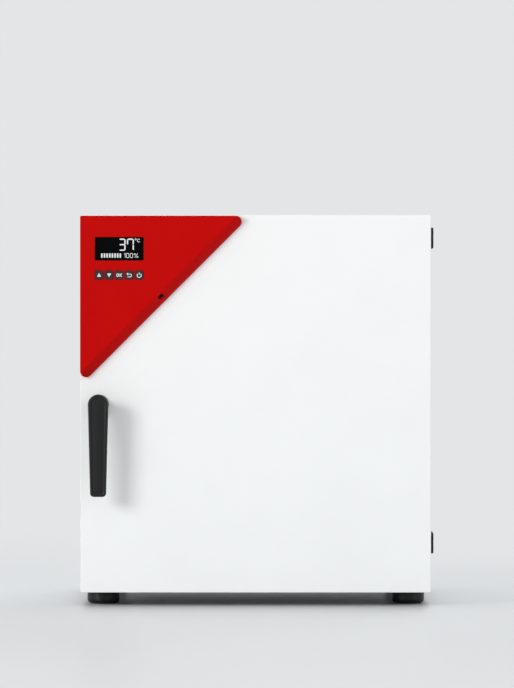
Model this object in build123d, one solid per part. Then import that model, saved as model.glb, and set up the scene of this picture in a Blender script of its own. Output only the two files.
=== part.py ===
from build123d import *
import os
from math import hypot, sqrt

# Bench-top laboratory incubator of about 57 litres, with a solid outer door, an inner glass
# door and forced air. All sizes are millimetres. Seen from the front +X is to the right, +Y goes
# to the back and +Z is up. The origin is the middle of the footprint, on the table.

# Cabinet
cabinet_width = 560.0
cabinet_height = 625.0
cabinet_depth = 565.0
outer_sheet = 1.2
base_sheet = 1.5
fold_radius = 2.5
frame_flange = 14.0
base_rim = 14.0
seat_gap = 0.3
fine_gap = 0.05

# Feet
foot_height = 22.0
foot_diameter = 52.0
foot_inset = 34.0

# Outer door
door_thickness = 50.0
seam_gap = 10.0
panel_flange = 10.0
dish_depth = 4.0
dish_margin = 62.0
dish_draft = 30.0
dish_corner = 12.0
gasket_width = 8.0
gasket_margin = 2.0
wool_gap = 1.5

# Chamber
side_wall = 100.0
chamber_roof = 98.0
chamber_lift = 85.0
machine_space = 39.0
chamber_sheet = 1.0
tub_radius = 8.0
jacket_depth = 20.0
plenum_depth = 35.0
rear_wool = 34.0
bulkhead_sheet = 1.0
recess_depth = 15.0
recess_side = 14.0
recess_end = 6.0

# Air baffles, runners and shelves
baffle_sheet = 0.8
baffle_lip = 12.0
air_slot_length = 84.0
air_slot_height = 6.0
air_slot_pitch = 112.0
air_slot_columns = 3
runner_count = 4
runner_pitch = 80.0
first_runner = 90.0
runner_width = 8.0
runner_height = 7.0
runner_inset = 20.0
shelf_levels = {"lower_shelf": 1, "upper_shelf": 3}
shelf_side_gap = 2.0
shelf_front_gap = 30.0
shelf_rear_gap = 20.0
shelf_frame_wire = 6.0
shelf_cross_wire = 3.0
shelf_wire_pitch = 22.0
shelf_corner = 14.0
intake_slot = 7.0
intake_slot_length = 34.0
intake_inner_radius = 18.0
intake_slots = 14

# Fan, motor and heater
fan_radius = 75.0
fan_depth = 22.0
fan_sheet = 1.2
fan_blades = 10
fan_blade_sheet = 1.2
fan_blade_lean = -35.0
fan_eye_radius = 40.0
fan_hub_radius = 11.0
fan_back_gap = 6.0
fan_nut_thickness = 5.0
shaft_diameter = 8.0
shaft_entry = 14.0
bush_across_flats = 20.0
bearing_gap = 0.2
motor_width = 84.0
motor_length = 30.0
motor_plate_width = 92.0
motor_plate_thickness = 2.0
heater_reach = 92.0
heater_tube = 8.0
heater_bend = 40.0
heater_opening = 34.0

# Exhaust duct and its flap
duct_bore = 50.0
duct_wall = 1.0
duct_reach = 48.0
duct_lift = 378.0
flap_thickness = 1.5
flap_inset = 24.0
flap_spindle = 5.0
flap_gap = 0.4
flap_lever_length = 18.0
flap_lever_width = 9.0
flap_lever_thickness = 3.0
flap_lever_gap = 3.0

# Temperature probes
probe_diameter = 4.0
probe_length = 60.0
probe_spacing = 14.0
probe_drop = 40.0
probe_side = 120.0

# Glass door
glass_thickness = 5.0
glass_overlap = 18.0
glass_corner = 5.0
seal_thickness = 4.0
seal_width = 7.0
glass_barrel = 8.0
glass_barrel_height = 20.0
glass_axis_gap = 3.0
glass_axis_depth = 1.0
glass_hinge_inset = 50.0
glass_plate_length = 30.0
glass_plate_thickness = 3.0
glass_pin = 4.0
glass_lug = 4.0
glass_bracket_sheet = 2.0
pull_height = 60.0
pull_foot = 14.0
pull_reach = 11.0
pull_lip = 6.0
pull_sheet = 1.5
pull_inset = 26.0
magnet_height = 40.0
magnet_width = 8.0
magnet_gap = 0.3
strike_thickness = 1.2

# Door hinges
hinge_proud = 5.0
hinge_height = 33.0
hinge_leaf_length = 30.0
hinge_leaf_setback = 8.0
hinge_barrel = 9.0
hinge_pin = 5.0
hinge_web = 3.5
hinge_barrel_gap = 0.2
hinge_top_inset = 36.2
hinge_bottom_inset = 78.3
hinge_chamfer = 4.0

# Control panel on the door, a right-angled triangle seen from the front
panel_width = 271.0
panel_height = 271.0
panel_top_gap = 1.5
panel_depth = 20.0
panel_edge = 4.0
panel_bevel = 13.0
panel_wall = 2.5
panel_tip_radius = 9.5
panel_corner_radius = 2.0
base_plate = 1.0
board_height = 6.4
board_sheet = 1.6
board_width = 104.0
board_drop = 92.0
board_inset = 10.0
post_width = 6.0
window_left = 23.8
window_drop = 35.8
window_width = 77.2
window_height = 36.8
window_thickness = 2.0
window_ledge = 4.0
key_width = 13.0
key_height = 13.8
key_pitch = 16.0
key_left = 30.3
key_drop = 96.2
key_proud = 1.0
key_gap = 0.3
key_rim = 1.0
key_rim_thickness = 1.2
key_stem = 4.0
key_stem_length = 2.3
key_travel = 0.8
key_corner = 1.5
key_names = ("key_up", "key_down", "key_ok", "key_back", "key_power")
switch_size = 6.0
socket_width = 8.4
socket_opening = 4.8
socket_length = 10.0
socket_sheet = 0.6
socket_along = 0.5
socket_inset = 9.0

# Door handle and latch
handle_reach = 54.0
handle_inset = 29.6
handle_rise = 322.6
handle_head_radius = 16.25
handle_drop = 146.7
handle_foot_width = 25.7
handle_foot_radius = 6.4
handle_thickness = 17.0
handle_waist = 12.0
handle_edge = 2.5
handle_scoop_depth = 1.6
handle_scoop_width = 21.0
handle_lip = 9.0
neck_diameter = 22.0
rosette_diameter = 36.0
rosette_thickness = 5.0
spindle_width = 8.0
spindle_depth = 24.0
sleeve_outer = 16.0
sleeve_bore = 12.0
tongue_length = 20.0
tongue_thickness = 3.0
tongue_width = 10.0
tongue_hub = 11.0
tongue_stand_off = 3.0
tongue_screw_head = 9.0
tongue_screw_thickness = 2.0
keeper_sheet = 2.0
keeper_overlap = 8.0
keeper_height = 24.0
keeper_clearance = 1.0

# Rear panel, sockets and electronics
rear_return = 14.0
vent_slot_length = 60.0
vent_slot_height = 4.0
vent_slot_pitch = 12.0
vent_slots = 4
vent_drop = 60.0
vent_side = 150.0
inlet_side = 190.0
inlet_lift = 60.0
inlet_cutout_width = 27.0
inlet_cutout_height = 20.0
inlet_flange_width = 50.0
inlet_flange_height = 24.0
inlet_flange_thickness = 3.0
inlet_depth = 28.0
inlet_bore_width = 24.0
inlet_bore_height = 16.0
inlet_bore_depth = 16.0
inlet_bore_chamfer = 5.0
inlet_pin_width = 2.0
inlet_pin_height = 4.0
inlet_pin_length = 12.0
inlet_pin_spacing = 7.0
inlet_earth_rise = 4.0
network_side = 130.0
network_width = 16.0
network_height = 14.0
network_depth = 20.0
network_bore_width = 12.0
network_bore_height = 8.0
network_bore_depth = 14.0
power_board_width = 120.0
power_board_height = 150.0
power_board_side = 150.0
power_board_stand = 8.0
power_post_inset = 8.0

# Sizes and places worked out from the sizes above
chamber_width = cabinet_width - 2 * side_wall
chamber_height = cabinet_height - foot_height - chamber_lift - chamber_roof
wall_depth = plenum_depth + chamber_sheet + rear_wool + bulkhead_sheet + machine_space
chamber_depth = cabinet_depth - door_thickness - seam_gap - recess_depth - wall_depth
shelf_depth = chamber_depth - shelf_front_gap - shelf_rear_gap
left_x = -(cabinet_width + hinge_proud) / 2
right_x = left_x + cabinet_width
mid_x = left_x + cabinet_width / 2
door_face = -(cabinet_depth + duct_reach - handle_reach) / 2
door_back = door_face + door_thickness
frame_face = door_back + seam_gap
rear_face = door_face + cabinet_depth
panel_inner = rear_face - outer_sheet
bottom_z = foot_height
floor_top = bottom_z + base_sheet
top_z = cabinet_height
wrap_left = left_x + outer_sheet
wrap_right = right_x - outer_sheet
wrap_top = top_z - outer_sheet
mouth_y = frame_face + recess_depth
chamber_floor = bottom_z + chamber_lift
chamber_ceiling = chamber_floor + chamber_height
chamber_mid_z = chamber_floor + chamber_height / 2
baffle_y = mouth_y + chamber_depth
tub_back = baffle_y + plenum_depth
tub_rear = tub_back + chamber_sheet
tub_width = chamber_width + 2 * jacket_depth
bulkhead_front = tub_rear + rear_wool
bulkhead_back = bulkhead_front + bulkhead_sheet
glass_width = tub_width + 2 * glass_overlap
glass_height = chamber_height + 2 * glass_overlap
glass_back = mouth_y - seal_thickness
glass_front = glass_back - glass_thickness
recess_width = glass_width + 2 * recess_side
recess_height = glass_height + 2 * recess_end
glass_axis_x = mid_x + glass_width / 2 + glass_axis_gap
catch_left = mid_x - glass_width / 2 + seat_gap
glass_axis_y = frame_face + glass_axis_depth
hinge_axis_x = right_x + hinge_proud - hinge_barrel / 2
hinge_axis_y = (door_back + frame_face) / 2
hinge_heights = {
    "upper": top_z - hinge_top_inset,
    "lower": bottom_z + hinge_bottom_inset,
}
glass_hinge_heights = (
    chamber_mid_z + glass_height / 2 - glass_hinge_inset,
    chamber_mid_z - glass_height / 2 + glass_hinge_inset,
)
shaft_hole = shaft_diameter + 2 * bearing_gap
fan_back = tub_back - fan_back_gap
fan_front = fan_back - fan_depth
duct_z = chamber_floor + duct_lift
flap_y = rear_face + flap_inset
handle_x = left_x + handle_inset
handle_z = handle_rise
tongue_back = frame_face - tongue_stand_off
tongue_front = tongue_back - tongue_thickness
panel_face = door_face - panel_depth
board_front = door_face - board_height - board_sheet
key_face = panel_face - key_proud
hollow_tip_cut = (panel_tip_radius - panel_wall) * (1 + sqrt(2))
key_rim_front = panel_face + panel_wall
key_stem_end = key_rim_front + key_rim_thickness + key_stem_length


def block(x, y, z):
    """A box given by its lowest and highest x, y and z."""
    spans = (x, y, z)
    centre = [(low + high) / 2 for low, high in spans]
    size = [high - low for low, high in spans]
    return Pos(*centre) * Box(*size)


def facing_front(x, y, z):
    """A drawing plane seen from the front: its x is to the right and its y is up."""
    return Plane(origin=(x, y, z), x_dir=(1, 0, 0), z_dir=(0, -1, 0))


def prism(sketch, x, z, front, back):
    """A sketch drawn as seen from the front, carried through the depth from front to back."""
    return extrude(facing_front(x, back, z) * sketch, back - front, dir=(0, -1, 0))


def rod(radius, x, z, front, back):
    """A round bar that runs from front to back."""
    return prism(Circle(radius), x, z, front, back)


def post(radius, x, y, low, high):
    """An upright round bar."""
    return Pos(x, y, (low + high) / 2) * Cylinder(radius, high - low)


def barrel(width, x, y, low, high):
    """An upright bar of eight flats, the outside of a moulded hinge barrel."""
    section = RegularPolygon(width / 2, 8, major_radius=False, rotation=22.5)
    return extrude(Pos(x, y, low) * section, high - low)


def side_bar(radius, y, z, left, right):
    """A round bar that runs from left to right."""
    return Pos((left + right) / 2, y, z) * Rot(0, 90, 0) * Cylinder(radius, right - left)


def frame_of(inner_width, inner_height, inner_radius, width):
    """A flat rectangular frame of one width all round, its corners concentric."""
    outer = RectangleRounded(inner_width + 2 * width, inner_height + 2 * width, inner_radius + width)
    return outer - RectangleRounded(inner_width, inner_height, inner_radius)


def arch(width, height, radius):
    """An upright rectangle that stands on the sketch origin, its two upper corners rounded."""
    face = Pos(0, height / 2) * Rectangle(width, height)
    return fillet(face.vertices().group_by(Axis.Y)[-1], radius)


def cut_corners(width, height, cut):
    """A rectangle with its four corners cut off."""
    return chamfer(Rectangle(width, height).vertices(), cut)


def corner_posts(width, height):
    """Four square posts drawn at the corners of a rectangle."""
    return Sketch() + GridLocations(width, height, 2, 2) * Rectangle(post_width, post_width)


def group(solids):
    """Loose solids that are handled together."""
    return Compound(children=list(solids))


# Cabinet body

def foot_places():
    """The middles of the four feet."""
    x_places = (left_x + foot_inset, right_x - foot_inset)
    y_places = (frame_face + foot_inset, rear_face - foot_inset)
    return [(x, y) for x in x_places for y in y_places]


def housing_wrap():
    """Top and both sides bent from one sheet, with a return at the rear for the rear panel."""
    height = top_z - bottom_z
    inner_width = cabinet_width - 2 * outer_sheet
    inner = arch(inner_width, height - outer_sheet, fold_radius - outer_sheet)
    section = arch(cabinet_width, height, fold_radius) - inner
    wrap = prism(section, mid_x, bottom_z, frame_face, rear_face)
    lip_height = wrap_top - floor_top
    lip_face = arch(inner_width, lip_height, fold_radius - outer_sheet)
    opening = Rectangle(inner_width - 2 * rear_return, lip_height - rear_return)
    lip_face -= Pos(0, (lip_height - rear_return) / 2) * opening
    wrap += prism(lip_face, mid_x, floor_top, panel_inner - outer_sheet, panel_inner)
    return wrap


def base_pan():
    """Floor tray with its sides and rear turned up."""
    front = frame_face + frame_flange + seat_gap
    rim_back = panel_inner - outer_sheet
    pan = block((wrap_left, wrap_right), (frame_face, panel_inner), (bottom_z, floor_top))
    rim = block((wrap_left, wrap_right), (front, rim_back), (floor_top, floor_top + base_rim))
    rim -= block(
        (wrap_left + base_sheet, wrap_right - base_sheet),
        (front, rim_back - base_sheet),
        (floor_top, floor_top + base_rim),
    )
    pan += rim
    return pan


def front_frame():
    """Pressed front of the housing with the recess that the glass door closes into."""
    width = wrap_right - wrap_left
    height = wrap_top - floor_top
    face = arch(width, height, fold_radius - outer_sheet)
    hollow = arch(width - 2 * outer_sheet, height - outer_sheet, fold_radius / 2)
    hollow -= Pos(0, outer_sheet / 2) * Rectangle(width, outer_sheet)
    frame = prism(face, mid_x, floor_top, frame_face, frame_face + frame_flange)
    frame -= prism(hollow, mid_x, floor_top, frame_face + outer_sheet, frame_face + frame_flange)
    mouth = Rectangle(recess_width, recess_height)
    frame -= prism(mouth, mid_x, chamber_mid_z, frame_face, frame_face + outer_sheet)
    wall = Rectangle(recess_width + 2 * outer_sheet, recess_height + 2 * outer_sheet) - mouth
    frame += prism(wall, mid_x, chamber_mid_z, frame_face, mouth_y + chamber_sheet)
    return frame


def rear_panel():
    """Flat rear cover with the openings for the duct, the sockets and the cooling air."""
    face = arch(wrap_right - wrap_left, wrap_top - bottom_z, fold_radius - outer_sheet)
    panel = prism(face, mid_x, bottom_z, panel_inner, rear_face)
    panel -= rod(duct_bore / 2 + duct_wall + seat_gap, mid_x, duct_z, panel_inner, rear_face)
    vent = Rectangle(vent_slot_length, vent_slot_height)
    for side in (-1, 1):
        for row in range(vent_slots):
            z = top_z - vent_drop - row * vent_slot_pitch
            panel -= prism(vent, mid_x + side * vent_side, z, panel_inner, rear_face)
    gap = 2 * seat_gap
    cutout = Rectangle(inlet_cutout_width + gap, inlet_cutout_height + gap)
    panel -= prism(cutout, *inlet_place(), panel_inner, rear_face)
    window = Rectangle(network_width + gap, network_height + gap)
    panel -= prism(window, *network_place(), panel_inner, rear_face)
    return panel


def rear_bulkhead():
    """Sheet behind the rear insulation, with four spacers pressed in for the power board."""
    inset = base_sheet
    plate = block(
        (wrap_left + inset, wrap_right - inset),
        (bulkhead_front, bulkhead_back),
        (floor_top, wrap_top),
    )
    entry = Rectangle(shaft_entry, shaft_entry)
    plate -= prism(entry, mid_x, chamber_mid_z, bulkhead_front, bulkhead_back)
    plate -= rod(duct_bore / 2 + duct_wall + seat_gap, mid_x, duct_z, bulkhead_front, bulkhead_back)
    x_reach = power_board_width - 2 * power_post_inset
    z_reach = power_board_height - 2 * power_post_inset
    x = mid_x - power_board_side
    posts = corner_posts(x_reach, z_reach)
    plate += prism(posts, x, chamber_mid_z, bulkhead_back, bulkhead_back + power_board_stand)
    return plate


def inner_chamber():
    """Stainless tub with rounded corners and a flange round its mouth."""
    bore = RectangleRounded(tub_width, chamber_height, tub_radius)
    shell = RectangleRounded(
        tub_width + 2 * chamber_sheet, chamber_height + 2 * chamber_sheet, tub_radius + chamber_sheet
    )
    tub = prism(shell, mid_x, chamber_mid_z, mouth_y, tub_rear)
    tub += prism(
        Rectangle(recess_width, recess_height), mid_x, chamber_mid_z, mouth_y, mouth_y + chamber_sheet
    )
    tub -= prism(bore, mid_x, chamber_mid_z, mouth_y, tub_back)
    tub -= prism(bush_outline(0), mid_x, chamber_mid_z, tub_back, tub_rear)
    tub -= rod(duct_bore / 2, mid_x, duct_z, tub_back, tub_rear)
    return tub


def insulation_slab(x, z):
    """One slab of mineral wool between the tub and the housing."""
    return block(x, (mouth_y + chamber_sheet + wool_gap, tub_rear), z)


def tub_insulation():
    """Mineral wool round the tub: a slab beside it on each side, one below and one above."""
    left = wrap_left + base_sheet
    right = wrap_right - base_sheet
    reach = tub_width / 2 + chamber_sheet
    low = chamber_floor - chamber_sheet
    high = chamber_ceiling + chamber_sheet
    slabs = [
        insulation_slab((left, mid_x - reach), (low, high)),
        insulation_slab((mid_x + reach, right), (low, high)),
        insulation_slab((left, right), (floor_top, low)),
        insulation_slab((left, right), (high, wrap_top)),
    ]
    return group(slabs)


def rear_insulation():
    """Wool behind the tub, pierced for the shaft bush and the duct."""
    inset = base_sheet
    slab = block(
        (wrap_left + inset, wrap_right - inset), (tub_rear, bulkhead_front), (floor_top, wrap_top)
    )
    slab -= prism(bush_outline(seat_gap), mid_x, chamber_mid_z, tub_rear, bulkhead_front)
    slab -= rod(duct_bore / 2 + duct_wall + seat_gap, mid_x, duct_z, tub_rear, bulkhead_front)
    return slab


def shelf_height(level):
    """The top of a runner, counted from the lowest one."""
    return chamber_floor + first_runner + level * runner_pitch


def side_baffle(side):
    """Slotted sheet that guides warm air along one side wall and carries the runners."""
    inner = mid_x + side * chamber_width / 2
    outer = inner + side * baffle_sheet
    wall = mid_x + side * tub_width / 2
    back = baffle_y + baffle_sheet
    sheet = block(
        (min(inner, outer), max(inner, outer)), (mouth_y, back), (chamber_floor, chamber_ceiling)
    )
    sheet += block(
        (min(inner, wall), max(inner, wall)),
        (mouth_y, mouth_y + baffle_sheet),
        (chamber_floor + tub_radius, chamber_ceiling - tub_radius),
    )
    rows = [shelf_height(level) + runner_pitch / 2 for level in range(-1, runner_count)]
    first = mouth_y + chamber_depth / 2 - air_slot_pitch * (air_slot_columns - 1) / 2
    for z in rows:
        for column in range(air_slot_columns):
            y = first + column * air_slot_pitch
            slot = Box(4 * baffle_sheet, air_slot_length, air_slot_height)
            sheet -= Pos((inner + outer) / 2, y, z) * slot
    ledge = Polygon(
        (0, 0), (0, -runner_height), (-side * runner_width, -runner_height / 3),
        (-side * runner_width, 0), align=None,
    )
    for level in range(runner_count):
        z = shelf_height(level)
        sheet += prism(ledge, inner, z, mouth_y + runner_inset, baffle_y - runner_inset)
    return sheet


def rear_baffle():
    """Rear wall of the chamber with a wheel of intake slots in front of the fan."""
    left = mid_x - chamber_width / 2
    right = mid_x + chamber_width / 2
    sheet = block((left, right), (baffle_y, baffle_y + baffle_sheet), (chamber_floor, chamber_ceiling))
    for low in (chamber_floor, chamber_ceiling - baffle_sheet):
        sheet += block((left, right), (baffle_y, baffle_y + baffle_lip), (low, low + baffle_sheet))
    slot = Pos(intake_inner_radius + intake_slot_length / 2, 0) * Rectangle(intake_slot_length, intake_slot)
    slots = [Rot(0, 0, index * 360 / intake_slots) * slot for index in range(intake_slots)]
    sheet -= prism(Sketch() + slots, mid_x, chamber_mid_z, baffle_y, baffle_y + baffle_sheet)
    window = Rectangle(probe_spacing + 2 * probe_diameter, 2 * probe_diameter)
    return sheet - prism(window, *probe_place(), baffle_y, baffle_y + baffle_sheet)


def wire_shelf(level):
    """Chromed rack: a frame with cross wires welded between its front and back."""
    width = chamber_width - 2 * shelf_side_gap
    y = mouth_y + shelf_front_gap + shelf_depth / 2
    low = shelf_height(level)
    inner_cut = shelf_corner - shelf_frame_wire * (2 - sqrt(2))
    frame = cut_corners(width, shelf_depth, shelf_corner)
    frame -= cut_corners(width - 2 * shelf_frame_wire, shelf_depth - 2 * shelf_frame_wire, inner_cut)
    rack = extrude(Pos(mid_x, y, low) * frame, shelf_frame_wire)
    count = int((width - 2 * shelf_corner) / shelf_wire_pitch)
    cross = Rectangle(shelf_cross_wire, shelf_cross_wire)
    half_depth = (shelf_depth - shelf_frame_wire) / 2
    wires = [Pos((index - count / 2) * shelf_wire_pitch, 0) * cross for index in range(count + 1)]
    z = low + shelf_frame_wire / 2
    return rack + prism(Sketch() + wires, mid_x, z, y - half_depth, y + half_depth)


def fan_wheel():
    """Radial fan wheel: a back plate, a hub and a ring of blades that lean backwards."""
    wheel = rod(fan_radius, mid_x, chamber_mid_z, fan_back - fan_sheet, fan_back)
    wheel += rod(fan_hub_radius, mid_x, chamber_mid_z, fan_front, fan_back)
    length = fan_radius - fan_eye_radius
    blade = Pos(fan_eye_radius + length / 2, 0) * Rot(0, 0, fan_blade_lean)
    blade *= Rectangle(length, fan_blade_sheet)
    blades = Sketch() + PolarLocations(0, fan_blades) * blade
    wheel += prism(blades, mid_x, chamber_mid_z, fan_front, fan_back - fan_sheet)
    return wheel - rod(shaft_diameter / 2 + fine_gap, mid_x, chamber_mid_z, fan_front, fan_back)


def fan_shaft():
    """Motor shaft through the rear wall, and the cap nut that holds the wheel on its end."""
    back = bulkhead_back + motor_length / 2
    shaft = rod(shaft_diameter / 2, mid_x, chamber_mid_z, fan_front, back)
    hexagon = RegularPolygon(shaft_diameter, 6)
    return group([shaft, prism(hexagon, mid_x, chamber_mid_z, fan_front - fan_nut_thickness, fan_front)])


def bush_outline(gap):
    """The hexagon of the shaft bush, wider by a gap all round."""
    return RegularPolygon(bush_across_flats / 2 + gap, 6, major_radius=False)


def shaft_bush():
    """Hexagonal bush through the rear wall and the wool, in which the shaft runs."""
    ring = bush_outline(0) - Circle(shaft_hole / 2)
    return prism(ring, mid_x, chamber_mid_z, tub_back, bulkhead_front)


def fan_motor():
    """Flat fan motor: a square stack of laminations on a mounting plate against the bulkhead."""
    front = bulkhead_back
    back = bulkhead_back + motor_length
    stack = cut_corners(motor_width, motor_width, motor_width / 6)
    motor = prism(stack, mid_x, chamber_mid_z, front, back)
    plate = Rectangle(motor_plate_width, motor_plate_width)
    motor += prism(plate, mid_x, chamber_mid_z, front, front + motor_plate_thickness)
    return motor - rod(shaft_hole / 2, mid_x, chamber_mid_z, front, bulkhead_back + motor_length / 2)


def heater_ring():
    """Heating element bent round the fan wheel, its two ends turned back to the tub wall."""
    y = (fan_front + fan_back) / 2
    reach = heater_reach
    half_gap = heater_opening / 2
    run = FilletPolyline(
        (-half_gap, -reach), (-reach, -reach), (-reach, reach), (reach, reach), (reach, -reach),
        (half_gap, -reach), radius=heater_bend,
    )
    bar = Rectangle(heater_tube, heater_tube)
    path = facing_front(mid_x, y, chamber_mid_z) * run
    coil = sweep(Plane(origin=path @ 0, x_dir=(0, 1, 0), z_dir=path % 0) * bar, path=path)
    for side in (-1, 1):
        x = mid_x + side * (half_gap + heater_tube / 2)
        coil += prism(bar, x, chamber_mid_z - reach, y - heater_tube / 2, tub_back)
    return coil


def exhaust_duct():
    """Round vent duct from the plenum through the rear of the cabinet."""
    end = rear_face + duct_reach
    ring = Circle(duct_bore / 2 + duct_wall) - Circle(duct_bore / 2)
    duct = prism(ring, mid_x, duct_z, tub_rear, end)
    half = flap_spindle / 2 + flap_gap / 2
    right = mid_x + duct_bore / 2 + 2 * duct_wall
    return duct - block((mid_x, right), (flap_y - half, flap_y + half), (duct_z - half, duct_z + half))


def exhaust_flap():
    """Round damper plate stiffened by a flat bar, and the lever that turns it outside the duct."""
    radius = duct_bore / 2 - flap_gap
    half = flap_thickness / 2
    flap = rod(radius, mid_x, duct_z, flap_y - half, flap_y + half)
    width = flap_spindle / 2
    inside = mid_x + sqrt(radius ** 2 - width ** 2) - flap_gap
    bar = block((2 * mid_x - inside, inside), (flap_y - width, flap_y + width), (duct_z - width, duct_z + width))
    lever_x = mid_x + duct_bore / 2 + duct_wall + flap_lever_gap
    flap += bar + side_bar(width, flap_y, duct_z, inside, lever_x)
    blade = Pos(0, (flap_lever_length - flap_lever_width) / 2) * cut_corners(
        flap_lever_width, flap_lever_length, flap_lever_width / 3
    )
    plane = Plane(origin=(lever_x, flap_y, duct_z), x_dir=(0, 1, 0), z_dir=(1, 0, 0))
    return flap + extrude(plane * blade, flap_lever_thickness)


def probe_place():
    """The middle between the control probe and the safety probe, high on the rear wall."""
    return mid_x + probe_side, chamber_ceiling - probe_drop


def temperature_probes():
    """Two stainless probes that reach from the tub's rear wall into the chamber."""
    x, z = probe_place()
    half = probe_spacing / 2
    return group(
        rod(probe_diameter / 2, x + side * half, z, baffle_y - probe_length, tub_back)
        for side in (-1, 1)
    )


def chamber_seal():
    """Silicone seal on the tub flange, just clear of the closed glass door."""
    ring = frame_of(
        tub_width + 2 * chamber_sheet, chamber_height + 2 * chamber_sheet,
        tub_radius + chamber_sheet, seal_width,
    )
    return prism(ring, mid_x, chamber_mid_z, glass_back + seat_gap, mouth_y)


def power_components():
    """Relays, a capacitor, a transformer and a terminal block on the power board."""
    face = bulkhead_back + power_board_stand + board_sheet
    deepest = panel_inner - face - wool_gap
    x = mid_x - power_board_side
    z = chamber_mid_z
    width = power_board_width / 2
    height = power_board_height / 2
    transformer = block((x - 0.8 * width, x), (face, face + 0.95 * deepest), (z, z + 0.7 * height))
    relays = [
        block(
            (x + 0.2 * width, x + 0.6 * width),
            (face, face + 0.6 * deepest),
            (z + low * height, z + (low + 0.28) * height),
        )
        for low in (0.05, 0.4)
    ]
    capacitor = block(
        (x - 0.7 * width, x - 0.3 * width), (face, face + 0.9 * deepest),
        (z - 0.5 * height, z - 0.2 * height),
    )
    terminals = block(
        (x - 0.1 * width, x + 0.8 * width),
        (face, face + 0.5 * deepest),
        (z - 0.8 * height, z - 0.6 * height),
    )
    return [transformer, *relays, capacitor, terminals]


def power_board():
    """Circuit board of the power electronics behind the bulkhead, with what it carries."""
    x = mid_x - power_board_side
    front = bulkhead_back + power_board_stand
    board = Rectangle(power_board_width, power_board_height)
    sheet = prism(board, x, chamber_mid_z, front, front + board_sheet)
    return group([sheet, *power_components()])


def inlet_place():
    """The middle of the mains inlet on the rear panel."""
    return mid_x + inlet_side, bottom_z + inlet_lift


def inlet_bore():
    """The mouth of an appliance inlet, its two lower corners cut off."""
    mouth = Rectangle(inlet_bore_width, inlet_bore_height)
    return chamfer(mouth.vertices().group_by(Axis.Y)[0], inlet_bore_chamfer)


def mains_inlet():
    """Three-pole appliance inlet with its flange on the rear panel, and its three flat pins."""
    x, z = inlet_place()
    outer = rear_face + inlet_flange_thickness
    flange = cut_corners(inlet_flange_width, inlet_flange_height, inlet_flange_thickness)
    socket = prism(flange, x, z, rear_face, outer)
    body = Rectangle(inlet_cutout_width, inlet_cutout_height)
    socket += prism(body, x, z, outer - inlet_depth, rear_face)
    socket -= prism(inlet_bore(), x, z, outer - inlet_bore_depth, outer)
    foot = outer - inlet_bore_depth
    blade = Rectangle(inlet_pin_width, inlet_pin_height)
    spots = [(-inlet_pin_spacing, 0), (0, inlet_earth_rise), (inlet_pin_spacing, 0)]
    pins = [prism(blade, x + right, z + up, foot, foot + inlet_pin_length) for right, up in spots]
    return group([socket, *pins])


def network_place():
    """The middle of the network socket on the rear panel."""
    return mid_x + network_side, bottom_z + inlet_lift


def network_socket():
    """Shielded network socket with its latch slot."""
    x, z = network_place()
    body = Rectangle(network_width, network_height)
    socket = prism(body, x, z, rear_face - network_depth, rear_face)
    bore = Rectangle(network_bore_width, network_bore_height)
    bore += Pos(0, -network_bore_height / 2) * Rectangle(network_bore_width / 2, network_bore_height / 4)
    socket -= prism(bore, x, z, rear_face - network_bore_depth, rear_face)
    return socket


def feet():
    """Four moulded rubber feet under the floor tray."""
    return group(post(foot_diameter / 2, x, y, 0, foot_height) for x, y in foot_places())


# Door hinges

def hinge_leaf(side, z):
    """One half of a lift-off hinge: side +1 stands on the housing, -1 sits on it with the door."""
    near = hinge_axis_y + side * (seam_gap / 2 + hinge_leaf_setback)
    outline = Pos(near + side * hinge_leaf_length / 2, z) * Rectangle(hinge_leaf_length, hinge_height)
    outline = chamfer(outline.vertices(), hinge_chamfer)
    plane = Plane(origin=(right_x, 0, 0), x_dir=(0, 1, 0), z_dir=(1, 0, 0))
    leaf = extrude(plane * outline, hinge_proud)
    low = z - hinge_height / 2 if side > 0 else z + hinge_barrel_gap
    high = z - hinge_barrel_gap if side > 0 else z + hinge_height / 2
    web_end = near + side * hinge_chamfer
    web_y = (min(hinge_axis_y, web_end), max(hinge_axis_y, web_end))
    leaf += block((right_x, right_x + hinge_web), web_y, (low, high))
    leaf += barrel(hinge_barrel, hinge_axis_x, hinge_axis_y, low, high)
    gap = fine_gap if side > 0 else hinge_barrel_gap
    return leaf - post(hinge_pin / 2 + gap, hinge_axis_x, hinge_axis_y, low, high)


def hinge_pins():
    """The pins of the two door hinges, fixed in the barrels on the housing."""
    half = hinge_height / 2
    return group(
        post(hinge_pin / 2, hinge_axis_x, hinge_axis_y, z - half, z + half)
        for z in hinge_heights.values()
    )


# Outer door

def door_skin():
    """Outer pan of the door with its edges folded back."""
    width = cabinet_width
    height = top_z - bottom_z
    middle = (top_z + bottom_z) / 2
    outer = RectangleRounded(width, height, fold_radius)
    inner = Rectangle(width - 2 * outer_sheet, height - 2 * outer_sheet)
    skin = prism(outer, mid_x, middle, door_face, door_back)
    skin = chamfer(skin.faces().sort_by(Axis.Y)[0].edges(), outer_sheet / 2)
    skin -= prism(inner, mid_x, middle, door_face + outer_sheet, door_back)
    skin -= rod(sleeve_outer / 2 + fine_gap, handle_x, handle_z, door_face, door_face + outer_sheet)
    return skin


def dish(grow, back):
    """The shallow pressing in the door's inner panel, as a solid with sloping sides."""
    width = cabinet_width - 2 * dish_margin
    height = top_z - bottom_z - 2 * dish_margin
    mouth = cut_corners(width + 2 * grow, height + 2 * grow, dish_corner)
    plane = facing_front(mid_x, back, (top_z + bottom_z) / 2)
    return extrude(plane * mouth, dish_depth, taper=dish_draft)


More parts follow.
